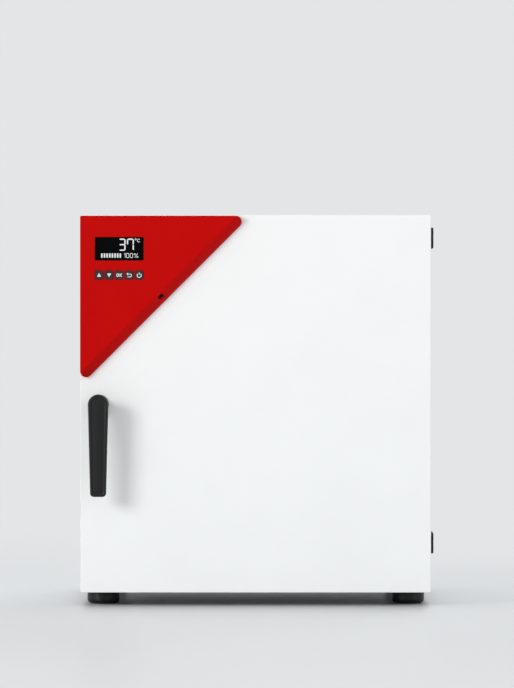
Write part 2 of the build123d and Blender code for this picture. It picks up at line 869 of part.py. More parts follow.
def door_inner_panel():
    """Inner sheet of the door: a rim folded forward and a pressed dish in the middle."""
    width = cabinet_width - 2 * outer_sheet
    height = top_z - bottom_z - 2 * outer_sheet
    middle = (top_z + bottom_z) / 2
    sheet_front = door_back - outer_sheet
    face = Rectangle(width, height)
    hollow = Rectangle(width - 2 * outer_sheet, height - 2 * outer_sheet)
    panel = prism(face, mid_x, middle, sheet_front - panel_flange, door_back)
    panel -= prism(hollow, mid_x, middle, sheet_front - panel_flange, sheet_front)
    panel += dish(outer_sheet, sheet_front)
    panel -= dish(0, door_back)
    panel -= rod(sleeve_outer / 2 + fine_gap, handle_x, handle_z, sheet_front, door_back)
    return panel


def door_insulation():
    """Foam core of the door, with a pocket for the pressed dish and a hole for the sleeve."""
    inset = outer_sheet + wool_gap
    back = door_back - outer_sheet
    core = block(
        (left_x + inset, right_x - inset),
        (door_face + outer_sheet, back),
        (bottom_z + inset, top_z - inset),
    )
    core -= block(
        (left_x + dish_margin - inset, right_x - dish_margin + inset),
        (back - dish_depth - seat_gap, back),
        (bottom_z + dish_margin - inset, top_z - dish_margin + inset),
    )
    return core - rod(sleeve_outer / 2 + seat_gap, handle_x, handle_z, door_face, back)


def door_gasket():
    """Silicone door gasket in the inner panel, just clear of the closed housing."""
    inner_width = recess_width + 2 * gasket_margin
    inner_height = recess_height + 2 * gasket_margin
    ring = frame_of(inner_width, inner_height, gasket_width, gasket_width)
    return prism(ring, mid_x, chamber_mid_z, door_back, frame_face - seat_gap)


def panel_outline(inset):
    """The sharp triangle of the panel, moved in all round."""
    reach = inset * (1 + sqrt(2))
    left = inset
    top = -panel_top_gap - inset
    low = (left, -panel_top_gap - panel_height + reach)
    return Polygon((left, top), low, (panel_width - reach, top), align=None)


def panel_corners(outline):
    """The square corner of a panel outline, and its two tips."""
    ordered = outline.vertices().sort_by_distance((0, -panel_top_gap))
    return ordered[0], ordered[-2:]


def rounded_outline():
    """The outside of the cover, its square corner and its tips rounded."""
    outline = panel_outline(0)
    corner, tips = panel_corners(outline)
    outline = fillet(corner, panel_corner_radius)
    corner, tips = panel_corners(outline)
    return fillet(tips, panel_tip_radius)


def blunt_outline(inset):
    """The inside of the cover, its tips cut off."""
    outline = panel_outline(inset)
    corner, tips = panel_corners(outline)
    return chamfer(tips, hollow_tip_cut)


def panel_body(outline, depth, slope_inset):
    """An outline carried out from the door, with a slope cut along its long edge."""
    body = extrude(facing_front(left_x, door_face, top_z) * outline, depth)
    middle = (left_x + panel_width / 2, door_face, top_z - panel_top_gap - panel_height / 2)
    across = Plane(origin=middle, x_dir=(-1, 0, 1), z_dir=(1, 0, 1))
    rise = panel_depth - panel_edge
    start = slope_inset - panel_bevel * panel_edge / rise
    wedge = Polygon(
        (start, 0), (slope_inset + panel_bevel, panel_depth), (start, panel_depth), align=None
    )
    return body - extrude(across * wedge, panel_width, both=True)


def key_places():
    """The middles of the five keys, from the panel's upper left corner."""
    return [(left_x + key_left + index * key_pitch, top_z - key_drop) for index in range(len(key_names))]


def window_place():
    """The middle of the display window."""
    return left_x + window_left + window_width / 2, top_z - window_drop - window_height / 2


def socket_plane():
    """Drawing plane of the service socket: it looks out of the sloping edge, x runs along it."""
    along_x = panel_width * socket_along
    along_z = -panel_top_gap - panel_height * (1 - socket_along)
    rise = panel_edge + (panel_depth - panel_edge) * socket_inset / panel_bevel
    inset = socket_inset / sqrt(2)
    return Plane(
        origin=(left_x + along_x - inset, door_face - rise, top_z + along_z + inset),
        x_dir=(1, 0, 1),
        z_dir=(1, 0, -1),
    )


def control_cover():
    """Moulded cover of the control panel with a bevel along its sloping edge."""
    cover = panel_body(rounded_outline(), panel_depth, 0)
    slope_wall = panel_wall * hypot(panel_bevel, panel_depth - panel_edge) / (panel_depth - panel_edge)
    cover -= panel_body(blunt_outline(panel_wall), panel_depth - panel_wall, slope_wall)
    x, z = window_place()
    back = panel_face + panel_wall
    glass = cut_corners(window_width + 2 * key_gap, window_height + 2 * key_gap, key_corner)
    ledge = Rectangle(window_width - 2 * window_ledge, window_height - 2 * window_ledge)
    cover -= prism(glass, x, z, panel_face, panel_face + window_thickness)
    cover -= prism(ledge, x, z, panel_face, back)
    hole = cut_corners(key_width + 2 * key_gap, key_height + 2 * key_gap, key_corner)
    for x, z in key_places():
        cover -= prism(hole, x, z, panel_face, back)
    mouth = Rectangle(socket_width, socket_opening)
    cover -= extrude(socket_plane() * mouth, socket_length, both=True)
    return cover


def display_window():
    """Black acrylic pane let into the front of the cover."""
    x, z = window_place()
    pane = cut_corners(window_width, window_height, key_corner)
    return prism(pane, x, z, panel_face, panel_face + window_thickness)


def display_module():
    """Display glass and its frame, between the cover and the control board."""
    x, z = window_place()
    width = window_width - window_ledge
    height = window_height - window_ledge
    front = panel_face + panel_wall + seat_gap
    body = prism(Rectangle(width, height), x, z, front, board_front)
    step = Rectangle(width - 3 * window_ledge, height - 3 * window_ledge)
    return body + prism(step, x, z, panel_face + window_thickness + seat_gap, front)


def control_board():
    """Circuit board cut to the triangle, with a push switch behind each key."""
    width = board_width
    height = board_drop
    left = left_x + board_inset
    top = top_z - board_inset
    outline = Polygon(
        (0, 0), (width, 0), (width, -height / 2), (width * 3 / 4, -height), (0, -height), align=None
    )
    board = prism(outline, left, top, board_front, board_front + board_sheet)
    front = key_stem_end + key_travel + 2 * fine_gap
    switch = Rectangle(switch_size, switch_size)
    return group([board, *(prism(switch, x, z, front, board_front) for x, z in key_places())])


def control_base():
    """Mounting plate on the door skin with posts under the control board and the service socket."""
    rim = panel_wall + seat_gap
    plate = blunt_outline(rim)
    base = extrude(facing_front(left_x, door_face, top_z) * plate, base_plate)
    posts = corner_posts(board_width - 2 * board_inset, board_drop - 3 * board_inset)
    x = left_x + (board_width + board_inset) / 2
    z = top_z - (board_drop + board_inset) / 2
    base += prism(posts, x, z, door_face - board_height, door_face - base_plate)
    socket = socket_plane().offset(-socket_opening - socket_length / 2).origin
    seat = socket.Y + socket_opening / 2 - key_gap
    stem = Rectangle(post_width, post_width)
    return base + prism(stem, socket.X, socket.Z, seat, door_face - base_plate)


def key(x, z):
    """One key: a cap in the cover, a rim that keeps it in and a stem towards its switch."""
    cap = prism(cut_corners(key_width, key_height, key_corner), x, z, key_face, key_rim_front)
    cap = chamfer(cap.faces().sort_by(Axis.Y)[0].edges(), key_gap)
    rim = Rectangle(key_width + 2 * key_rim, key_height + 2 * key_rim)
    rim_back = key_rim_front + key_rim_thickness
    cap += prism(rim, x, z, key_rim_front, rim_back)
    return cap + prism(Rectangle(key_stem, key_stem), x, z, rim_back, key_stem_end)


def service_socket():
    """Small data socket in the bevel, a folded metal shell open towards the outside."""
    shell = Rectangle(socket_width - 2 * key_gap, socket_opening - 2 * key_gap)
    bore = Rectangle(
        socket_width - 2 * key_gap - 2 * socket_sheet, socket_opening - 2 * key_gap - 2 * socket_sheet
    )
    plane = socket_plane().offset(-socket_opening)
    socket = extrude(plane * shell, -socket_length)
    return socket - extrude(plane * bore, socket_sheet - socket_length)


# Handle and latch

def handle_lever():
    """Tapered lever: round head, free lower end, hollowed front and a neck at the head."""
    front = door_face - handle_reach
    back = front + handle_thickness
    foot_x = handle_foot_width / 2 - handle_foot_radius
    foot_y = -handle_drop + handle_foot_radius
    circles = [Circle(handle_head_radius)]
    circles += [Pos(side * foot_x, foot_y) * Circle(handle_foot_radius) for side in (-1, 1)]
    outline = make_hull([edge for circle in circles for edge in circle.edges()])
    lever = prism(outline, handle_x, handle_z, front, back)
    lever = chamfer(lever.faces().sort_by(Axis.Y)[0].edges(), handle_edge)
    relief_top = handle_z - handle_head_radius
    relief_low = handle_z - handle_drop
    relief = ThreePointArc(
        (back, relief_top), (back - handle_thickness + handle_waist, (relief_top + relief_low) / 2),
        (back, relief_low),
    )
    chord = Line((back, relief_low), (back, relief_top))
    side = Plane(origin=(handle_x, 0, 0), x_dir=(0, 1, 0), z_dir=(1, 0, 0))
    lever -= extrude(side * make_face([relief, chord]), handle_head_radius, both=True)
    scoop_radius = (handle_scoop_width ** 2 / 4 + handle_scoop_depth ** 2) / (2 * handle_scoop_depth)
    scoop_low = relief_low + handle_lip
    scoop_high = handle_z + handle_head_radius / 2
    scoop = post(
        scoop_radius, handle_x, front + handle_scoop_depth - scoop_radius, scoop_low, scoop_high
    )
    lever -= chamfer(scoop.edges().filter_by(GeomType.CIRCLE), handle_scoop_depth)
    neck_end = door_face - rosette_thickness - seat_gap
    lever += rod(neck_diameter / 2, handle_x, handle_z, back - handle_edge, neck_end)
    bore = Rectangle(spindle_width + 2 * fine_gap, spindle_width + 2 * fine_gap)
    return lever - prism(bore, handle_x, handle_z, neck_end - spindle_depth, neck_end)


def handle_rosette():
    """Turned bush through the door for the spindle, its flange the rosette under the neck."""
    front = door_face - rosette_thickness
    bush = rod(rosette_diameter / 2, handle_x, handle_z, front, door_face)
    bush += rod(sleeve_outer / 2, handle_x, handle_z, door_face, door_back)
    return bush - rod(sleeve_bore / 2, handle_x, handle_z, front, door_back)


def handle_spindle():
    """Square bar from the lever to the latch tongue."""
    front = door_face - rosette_thickness - seat_gap - spindle_depth
    bar = Rectangle(spindle_width, spindle_width)
    return prism(bar, handle_x, handle_z, front, tongue_back)


def latch_tongue():
    """Flat tongue that swings from upright to the free side, and the screw that keeps it on."""
    half_hub = tongue_hub / 2
    half_tip = tongue_width / 2
    outline = Polygon(
        (-half_hub, -half_hub), (half_hub, -half_hub), (half_hub, half_hub),
        (half_tip, tongue_length - half_tip), (0, tongue_length), (-half_tip, tongue_length - half_tip),
        (-half_hub, half_hub), align=None,
    )
    outline -= Rectangle(spindle_width + 2 * fine_gap, spindle_width + 2 * fine_gap)
    tongue = prism(outline, handle_x, handle_z, tongue_front, tongue_back)
    head = RegularPolygon(tongue_screw_head / 2, 6)
    screw = prism(head, handle_x, handle_z, tongue_back, tongue_back + tongue_screw_thickness)
    return group([tongue, screw])


def latch_keeper():
    """Folded keeper on the front frame; the turned tongue lies behind its front lip."""
    lip_back = tongue_front - keeper_clearance
    lip_front = lip_back - keeper_sheet
    tip = handle_x - tongue_length
    post_right = tip - keeper_clearance - keeper_sheet / 2
    post_left = post_right - keeper_sheet
    lip_right = tip + keeper_overlap
    z = (handle_z - keeper_height / 2, handle_z + keeper_height / 2)
    keeper = block((post_left, post_right), (lip_front, frame_face), z)
    keeper += block((post_left, lip_right), (lip_front, lip_back), z)
    keeper += block((post_left, lip_right), (frame_face - outer_sheet, frame_face), z)
    return keeper


# Glass door

def pull_place():
    """The fold of the pull, near the free edge of the glass."""
    return mid_x - glass_width / 2 + pull_inset, chamber_mid_z


def glass_panel():
    """Toughened pane with rounded corners."""
    pane = RectangleRounded(glass_width, glass_height, glass_corner)
    return prism(pane, mid_x, chamber_mid_z, glass_front, glass_back)


def catch_block(front, back):
    """A strip of the catch, beside the seal at the free edge of the glass."""
    half = magnet_height / 2
    span = (chamber_mid_z - half, chamber_mid_z + half)
    return block((catch_left, catch_left + magnet_width), (front, back), span)


def glass_hinge_plate(z):
    """A plate on the face of the glass, rolled into a barrel at its outer end."""
    half = glass_barrel_height / 2
    span = (z - half, z + half)
    plate_front = glass_front - glass_plate_thickness
    plate = block((glass_axis_x - glass_plate_length, glass_axis_x), (plate_front, glass_front), span)
    plate += barrel(glass_barrel, glass_axis_x, glass_axis_y, *span)
    return plate - post(glass_pin / 2 + hinge_barrel_gap, glass_axis_x, glass_axis_y, *span)


def glass_hardware():
    """What is fixed to the glass: two hinge plates and the strike of the catch."""
    plates = [glass_hinge_plate(z) for z in glass_hinge_heights]
    return group([*plates, catch_block(glass_back, glass_back + strike_thickness)])


def glass_bracket(z):
    """A bracket on the recess wall with two lugs, one above and one below a glass hinge."""
    wall = mid_x + recess_width / 2
    near = glass_barrel_height / 2 + hinge_barrel_gap
    far = near + glass_lug
    radius = glass_barrel / 2
    bracket = block((wall - glass_bracket_sheet, wall), (glass_axis_y - radius, mouth_y), (z - far, z + far))
    for low, high in ((z - far, z - near), (z + near, z + far)):
        bracket += barrel(glass_barrel, glass_axis_x, glass_axis_y, low, high)
        bracket += block((glass_axis_x, wall), (glass_axis_y - radius, glass_axis_y + radius), (low, high))
    return bracket + post(glass_pin / 2, glass_axis_x, glass_axis_y, z - far, z + far)


def glass_brackets():
    """The two brackets of the glass door, each with its pin."""
    return group(glass_bracket(z) for z in glass_hinge_heights)


def glass_pull():
    """Folded strip on the glass to pull it open by."""
    x, z = pull_place()
    half = pull_height / 2
    span = (z - half, z + half)
    front = glass_front - pull_reach
    pull = block((x, x + pull_foot), (glass_front - pull_sheet, glass_front), span)
    pull += block((x, x + pull_sheet), (front, glass_front), span)
    return pull + block((x - pull_lip, x + pull_sheet), (front, front + pull_sheet), span)


def glass_magnet():
    """Magnet on the tub flange that holds the glass door closed."""
    return catch_block(glass_back + strike_thickness + magnet_gap, mouth_y)


def subparts():
    """Every sub-part by its name."""
    parts = {
        "housing_wrap": housing_wrap(),
        "base_pan": base_pan(),
        "front_frame": front_frame(),
        "rear_panel": rear_panel(),
        "rear_bulkhead": rear_bulkhead(),
        "inner_chamber": inner_chamber(),
        "tub_insulation": tub_insulation(),
        "rear_insulation": rear_insulation(),
        "left_air_baffle": side_baffle(-1),
        "right_air_baffle": side_baffle(1),
        "rear_air_baffle": rear_baffle(),
        "shaft_bush": shaft_bush(),
        "fan_motor": fan_motor(),
        "fan_wheel": fan_wheel(),
        "fan_shaft": fan_shaft(),
        "heater_ring": heater_ring(),
        "exhaust_duct": exhaust_duct(),
        "exhaust_flap": exhaust_flap(),
        "temperature_probes": temperature_probes(),
        "chamber_seal": chamber_seal(),
        "power_board": power_board(),
        "mains_inlet": mains_inlet(),
        "network_socket": network_socket(),
        "feet": feet(),
        "hinge_pins": hinge_pins(),
        "latch_keeper": latch_keeper(),
        "glass_brackets": glass_brackets(),
        "glass_magnet": glass_magnet(),
        "glass_panel": glass_panel(),
        "glass_hardware": glass_hardware(),
        "glass_pull": glass_pull(),
        "door_skin": door_skin(),
        "door_inner_panel": door_inner_panel(),
        "door_insulation": door_insulation(),
        "door_gasket": door_gasket(),
        "control_cover": control_cover(),
        "control_base": control_base(),
        "control_board": control_board(),
        "display_window": display_window(),
        "display_module": display_module(),
        "service_socket": service_socket(),
        "handle_lever": handle_lever(),
        "handle_spindle": handle_spindle(),
        "handle_rosette": handle_rosette(),
        "latch_tongue": latch_tongue(),
    }
    for end, z in hinge_heights.items():
        parts[f"door_hinge_{end}"] = hinge_leaf(-1, z)
        parts[f"housing_hinge_{end}"] = hinge_leaf(1, z)
    for name, level in shelf_levels.items():
        parts[name] = wire_shelf(level)
    for name, (x, z) in zip(key_names, key_places()):
        parts[name] = key(x, z)
    return parts


def main():
    """Write each sub-part to its own file."""
    os.makedirs("parts", exist_ok=True)
    for name, shape in subparts().items():
        export_step(shape, f"parts/{name}.step")


if __name__ == "__main__":
    main()
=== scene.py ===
# %% [markdown]
# # A bench incubator, dressed around its CAD frame
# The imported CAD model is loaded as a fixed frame. Its parts keep their places. Sheet metal parts
# whose shape is right only get a finish. Moulded parts, wires, seals and prints are built here as
# surfaces, because a soft edge or a round wire is what the eye looks for. Another way would be to
# model everything again by hand, but then joints and sizes would no longer be sure.

# %% Load the frame
import math

import bmesh
import bpy
import numpy as np
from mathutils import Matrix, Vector
from mathutils.geometry import delaunay_2d_cdt


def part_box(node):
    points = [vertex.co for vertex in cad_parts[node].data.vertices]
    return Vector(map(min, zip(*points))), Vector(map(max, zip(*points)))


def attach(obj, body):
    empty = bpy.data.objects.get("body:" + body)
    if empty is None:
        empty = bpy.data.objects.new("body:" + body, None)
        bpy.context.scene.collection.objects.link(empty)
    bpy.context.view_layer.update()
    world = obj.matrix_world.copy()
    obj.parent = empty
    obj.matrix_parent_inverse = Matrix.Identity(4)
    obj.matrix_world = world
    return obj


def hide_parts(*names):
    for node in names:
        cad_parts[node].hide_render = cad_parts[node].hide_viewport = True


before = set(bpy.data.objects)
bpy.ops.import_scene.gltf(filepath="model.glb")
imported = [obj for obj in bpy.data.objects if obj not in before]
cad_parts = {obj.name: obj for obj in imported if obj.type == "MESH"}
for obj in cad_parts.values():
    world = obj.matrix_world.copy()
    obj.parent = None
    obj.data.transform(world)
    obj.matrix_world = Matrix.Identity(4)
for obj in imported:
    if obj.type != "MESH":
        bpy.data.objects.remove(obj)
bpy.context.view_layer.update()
mm = 0.001
print("nodes", len(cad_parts))


# %% [markdown]
# ## Helpers for surfaces
# A surface is a grid of points, worked out as one array. The same few ways of filling a grid make
# turned parts, wires and plates, so each of them is written once.

# %% Places and grids
def span(node):
    """Lowest and highest corner of a CAD node, in millimetres."""
    low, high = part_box(node)
    return np.array(low) / mm, np.array(high) / mm


def grid_faces(rows, columns, round_rows=False):
    """Four-cornered faces between rows that are closed rings; round_rows also joins last and first."""
    number = np.arange(rows * columns).reshape(rows, columns)
    number = np.column_stack([number, number[:, 0]])
    if round_rows:
        number = np.vstack([number, number[:1]])
    corners = (number[:-1, :-1], number[:-1, 1:], number[1:, 1:], number[1:, :-1])
    return np.stack(corners, -1).reshape(-1, 4).tolist()


def together(*parts):
    """Several surfaces as one: the point numbers of each are counted on from the one before."""
    points = np.vstack([np.reshape(part[0], (-1, 3)) for part in parts])
    starts = np.cumsum([0] + [np.size(part[0]) // 3 for part in parts])
    faces = []
    for part, start in zip(parts, starts):
        faces += [[corner + start for corner in face] for face in part[1]]
    return points, faces


def unit(vectors):
    """Vectors brought to length one, row by row."""
    vectors = np.asarray(vectors, float)
    return vectors / np.linalg.norm(vectors, axis=-1, keepdims=True)


# %% A surface becomes a piece
weld = 0.002 * mm
sliver = 0.001 * mm


def placed(name, data):
    """A new object with its mesh, lamp or camera data, put into the scene."""
    thing = bpy.data.objects.new(name, data)
    bpy.context.scene.collection.objects.link(thing)
    return thing


def piece(name, surface, material, body, stands_for=(), crease=32):
    """One closed mesh from millimetre points and faces, which rides on a body of the frame."""
    points, faces = surface
    mesh = bpy.data.meshes.new(name)
    mesh.from_pydata((np.reshape(points, (-1, 3)) * mm).tolist(), [], faces)
    work = bmesh.new()
    work.from_mesh(mesh)
    bmesh.ops.remove_doubles(work, verts=work.verts, dist=weld)
    bmesh.ops.dissolve_degenerate(work, edges=work.edges, dist=sliver)
    bmesh.ops.recalc_face_normals(work, faces=work.faces)
    work.to_mesh(mesh)
    work.free()
    mesh.shade_smooth()
    mesh.set_sharp_from_angle(angle=math.radians(crease))
    mesh.materials.append(material)
    thing = placed(name, mesh)
    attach(thing, body)
    if stands_for:
        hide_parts(*stands_for)
    print(name, "faces", len(mesh.polygons))
    return thing


# %% Outlines
def rounded(corners, radii, steps=6):
    """Closed outline through the corners, each replaced by an arc that touches both its sides.

    At share s of its angle t, an arc from a to b is at (sin((1 - s) t) a + sin(s t) b) / sin t.
    """
    corners = np.asarray(corners, float)
    radii = np.broadcast_to(radii, len(corners))
    share = np.linspace(0, 1, steps + 1)[:, None]
    arcs = []
    for index, (corner, radius) in enumerate(zip(corners, radii)):
        to_last = unit(corners[index - 1] - corner)
        to_next = unit(corners[(index + 1) % len(corners)] - corner)
        half = math.acos(np.clip(to_last @ to_next, -1, 1)) / 2
        centre = corner + unit(to_last + to_next) * radius / math.sin(half)
        start = corner + to_last * radius / math.tan(half) - centre
        end = corner + to_next * radius / math.tan(half) - centre
        turn = math.pi - 2 * half
        sweep = np.sin((1 - share) * turn) * start + np.sin(share * turn) * end
        arcs.append(centre + sweep / math.sin(turn))
    return np.vstack(arcs)


def rectangle(left, right, low, high):
    """The corners of an upright rectangle, counter-clockwise."""
    return np.array([(left, low), (right, low), (right, high), (left, high)], float)


def front_box(low, high, inset=0.0):
    """The rectangle that a box shows from the front, with each side moved in."""
    return rectangle(low[0] + inset, high[0] - inset, low[2] + inset, high[2] - inset)


def moved_in(outline, inset):
    """Outlines moved in by each inset: a point goes along the mitre of its two sides."""
    side = unit(np.roll(outline, -1, 0) - outline)
    normal = np.column_stack([-side[:, 1], side[:, 0]])
    before = np.roll(normal, 1, 0)
    mitre = (normal + before) / (1 + (normal * before).sum(1))[:, None]
    return outline + np.reshape(inset, (-1, 1, 1)) * mitre


# %% Plates, turned parts and swept parts
front_view = ((0, 0, 0), (1, 0, 0), (0, 0, 1))
top_view = ((0, 0, 0), (1, 0, 0), (0, 1, 0))
right_view = ((0, 0, 0), (0, 1, 0), (0, 0, 1))


def lifted(flat, height, view):
    """Flat points put in space: origin + a * across + b * up + height * (across x up)."""
    origin, across, up = np.asarray(view, float)
    outward = np.cross(across, up)
    flat = np.asarray(flat, float)
    height = np.broadcast_to(height, flat.shape[:-1])
    return origin + flat[..., :1] * across + flat[..., 1:] * up + height[..., None] * outward


def slab(outline, low, high, rounding, view):
    """A plate with a rounded edge: at angle t it is r (1 - cos t) further in and r sin t higher."""
    turn = np.linspace(0, math.pi / 2, 5)
    flat_start = 1.3 * rounding
    inset = np.concatenate([[0], rounding * (1 - np.cos(turn)), [flat_start]])
    height = np.concatenate([[low], high - rounding * (1 - np.sin(turn)), [high]])
    rows = moved_in(np.asarray(outline, float), inset)
    middle = np.broadcast_to(rows[0].mean(0), rows[:1].shape)
    rows = np.concatenate([middle, rows, middle])
    height = np.concatenate([[low], height, [high]])
    points = lifted(rows, height[:, None], view)
    return points, grid_faces(*rows.shape[:2])


def full_turn(steps):
    """Angles in equal steps once round."""
    return np.linspace(0, 2 * math.pi, steps, endpoint=False)


def turned(profile, centre, axis, steps=48, ring=False):
    """Surface of revolution: profile rows are a radius and a height, turned round the axis."""
    radius, height = np.asarray(profile, float).T
    axis = np.asarray(axis, float)
    across = unit(np.cross(axis, np.roll(axis, 1)))
    up = np.cross(axis, across)
    angle = full_turn(steps)
    round_it = np.cos(angle)[:, None] * across + np.sin(angle)[:, None] * up
    points = np.asarray(centre, float) + height[:, None, None] * axis + radius[:, None, None] * round_it
    return points, grid_faces(len(radius), steps, round_rows=ring)


def swept(path, section, flat, closed=False):
    """A section carried along a flat path: path + a * side + b * flat, the side mitred at corners."""
    path = np.asarray(path, float)
    flat = np.asarray(flat, float)
    section = np.asarray(section, float)
    step = unit(np.vstack([path[1:], path[:1]]) - path) if closed else unit(np.diff(path, axis=0))
    ahead = step if closed else np.vstack([step, step[-1:]])
    behind = np.roll(step, 1, 0) if closed else np.vstack([step[:1], step])
    side = np.cross(ahead, flat)
    last = np.cross(behind, flat)
    mitre = (side + last) / (1 + (side * last).sum(1))[:, None]
    points = path[:, None] + section[:, :1] * mitre[:, None] + section[:, 1:] * flat
    faces = grid_faces(len(path), len(section), round_rows=closed)
    if not closed:
        count = len(section)
        faces += [list(range(count)), list(range((len(path) - 1) * count, len(path) * count))]
    return points, faces


def disc(radius, steps=12):
    """A round section, as points on a circle."""
    angle = full_turn(steps)
    return radius * np.column_stack([np.cos(angle), np.sin(angle)])


# %% [markdown]
# ## Helpers for finishes
# Every finish starts from one Principled shader and the Object coordinates, which are metres on
# the real object, so that a pattern can be given by its real size in millimetres.

# %% Colour and nodes
def linear(hexadecimal):
    """A screen colour written as sRGB hex, as linear red, green, blue and full cover."""
    value = np.array([int(hexadecimal[place:place + 2], 16) for place in (1, 3, 5)]) / 255
    value = np.where(value <= 0.04045, value / 12.92, ((value + 0.055) / 1.055) ** 2.4)
    return (*value.tolist(), 1.0)


def add(tree, kind, inputs=(), **settings):
    """One node with its settings; an input is a value or the output of another node."""
    node = tree.nodes.new(kind)
    for name, value in settings.items():
        setattr(node, name, value)
    for name, value in dict(inputs).items():
        if isinstance(value, bpy.types.NodeSocket):
            tree.links.new(value, node.inputs[name])
        else:
            node.inputs[name].default_value = value
    return node


def per(size):
    """Texture scale for a pattern that repeats every so many millimetres."""
    return 1 / (size * mm)


def finish(name, shader_inputs):
    """A material with one Principled shader: its tree, shader and Object coordinates for the rest."""
    material = bpy.data.materials.new(name)
    material.use_nodes = True
    tree = material.node_tree
    tree.nodes.clear()
    shader = add(tree, "ShaderNodeBsdfPrincipled", shader_inputs)
    add(tree, "ShaderNodeOutputMaterial", {"Surface": shader.outputs[0]})
    place = add(tree, "ShaderNodeTexCoord").outputs["Object"]
    return material, tree, shader, place


def mottled(tree, shader, factor, dark, light, rough=None):
    """Colour from dark to light as the factor goes from 0 to 1, and roughness with it."""
    ends = {0: factor, 6: linear(dark), 7: linear(light)}
    blend = add(tree, "ShaderNodeMix", ends, data_type="RGBA")
    tree.links.new(blend.outputs[2], shader.inputs["Base Color"])
    if rough:
        limits = {"Value": factor, "To Min": rough[0], "To Max": rough[1]}
        spread = add(tree, "ShaderNodeMapRange", limits)
        tree.links.new(spread.outputs[0], shader.inputs["Roughness"])


def raised(tree, shader, height, depth):
    """Relief on the surface: the height pattern stands proud by so many millimetres."""
    bump = add(tree, "ShaderNodeBump", {"Height": height, "Distance": depth * mm, "Strength": 1.0})
    tree.links.new(bump.outputs[0], shader.inputs["Normal"])


# %% [markdown]
# ## Powder coat
# Housing and door are steel sheet with a pale powder coat. It melts in an oven and flows into soft
# orange peel with bumps of about 1.5 mm, drawn at 3 mm here so that it shows. A second, wide
# noise is the slight unevenness of the gloss. Hinges and motor have dark coats of the same kind.
# A photo of paint could be wrapped round instead, but noise has no seams and stays sharp from near.

# %% Powder coats
def powder_coat(name, dark, light, rough, peel, gloss=0.5):
    """Flowed powder: a soft noise for the orange peel and a wide one for colour and gloss."""
    material, tree, shader, place = finish(name, {"IOR": 1.5, "Specular IOR Level": gloss})
    wide = add(tree, "ShaderNodeTexNoise", {"Vector": place, "Scale": per(90), "Detail": 3.0})
    fine = add(tree, "ShaderNodeTexNoise", {"Vector": place, "Scale": per(peel), "Detail": 2.0})
    mottled(tree, shader, wide.outputs[0], dark, light, rough)
    raised(tree, shader, fine.outputs[0], depth=0.02)
    return material


coat_white = powder_coat("powder_coat_white", "#f5f6f5", "#fafbfa", (0.36, 0.44), peel=3.0, gloss=0.3)
coat_black = powder_coat("powder_coat_black", "#1a1b1b", "#222323", (0.4, 0.5), peel=2.0, gloss=0.2)
motor_enamel = powder_coat("motor_enamel", "#2b2d31", "#35383c", (0.45, 0.6), peel=2.5)
print(coat_white.name, coat_black.name, motor_enamel.name)

# %% [markdown]
# ## Moulded plastics
# The cover of the controls is red ABS with a fine satin grain from the mould. Handle, keys and
# sockets are black polyamide, whose glass fibres leave it a little rougher and mottled. The grain
# could be modelled, but it is far finer than a mesh should be, so it only tilts the light.

# %% Moulded plastics
def moulded(name, dark, light, rough, grain, depth, gloss=0.2):
    """Moulded plastic: fine cells for the mould's grain, a wide noise for the flow of the melt."""
    material, tree, shader, place = finish(name, {"IOR": 1.53, "Specular IOR Level": gloss})
    flow = add(tree, "ShaderNodeTexNoise", {"Vector": place, "Scale": per(45), "Detail": 4.0})
    cells = add(tree, "ShaderNodeTexVoronoi", {"Vector": place, "Scale": per(grain)})
    mottled(tree, shader, flow.outputs[0], dark, light, rough)
    raised(tree, shader, cells.outputs["Distance"], depth)
    return material


abs_red = moulded("abs_red", "#bc0806", "#c50a08", (0.42, 0.5), grain=1.2, depth=0.012, gloss=0.03)
polyamide_black = moulded("polyamide_black", "#161617", "#1d1d1e", (0.38, 0.5), grain=1.0, depth=0.02)
key_rubber = moulded("key_rubber", "#332f30", "#3d383a", (0.5, 0.6), grain=0.8, depth=0.02, gloss=0.1)
socket_black = moulded("socket_black", "#151516", "#1d1d1e", (0.42, 0.52), grain=1.0, depth=0.02)
foot_rubber = moulded(
    "foot_rubber", "#0e0e0e", "#151515", (0.36, 0.46), grain=1.6, depth=0.03, gloss=0.35
)
silicone_grey = moulded("silicone_grey", "#54585a", "#5d6163", (0.45, 0.58), grain=1.5, depth=0.02)
print(abs_red.name, polyamide_black.name, key_rubber.name, foot_rubber.name, silicone_grey.name)

# %% [markdown]
# ## Metals
# Brushed stainless has fine lines along the rolling direction: a noise stretched along one axis.
# Zinc plate has flakes some millimetres wide, drawn with Voronoi cells. Chrome is nearly a mirror.
# An anisotropic shader could stretch the highlights too, but most of this metal is deep inside.

# %% Brushed and plated metals
def brushed_stainless():
    """Rolled sheet: noise squeezed across the rolling direction gives lines; they vary the gloss."""
    material, tree, shader, place = finish("stainless_brushed", {"Metallic": 1.0})
    across = add(tree, "ShaderNodeMapping", {"Vector": place, "Scale": (1, 1, 30)}).outputs[0]
    lines = add(tree, "ShaderNodeTexNoise", {"Vector": across, "Scale": per(14), "Detail": 3.0})
    mottled(tree, shader, lines.outputs[0], "#b9bbbb", "#cfd1d1", rough=(0.26, 0.4))
    raised(tree, shader, lines.outputs[0], depth=0.006)
    return material


def flaked(name, dark, light, rough, flake):
    """Zinc or cast metal: each cell of a Voronoi pattern has its own grey and its own gloss."""
    material, tree, shader, place = finish(name, {"Metallic": 1.0})
    cells = add(tree, "ShaderNodeTexVoronoi", {"Vector": place, "Scale": per(flake)})
    grey = add(tree, "ShaderNodeSeparateColor", {0: cells.outputs["Color"]})
    mottled(tree, shader, grey.outputs[0], dark, light, rough)
    raised(tree, shader, cells.outputs["Distance"], depth=0.01)
    return material


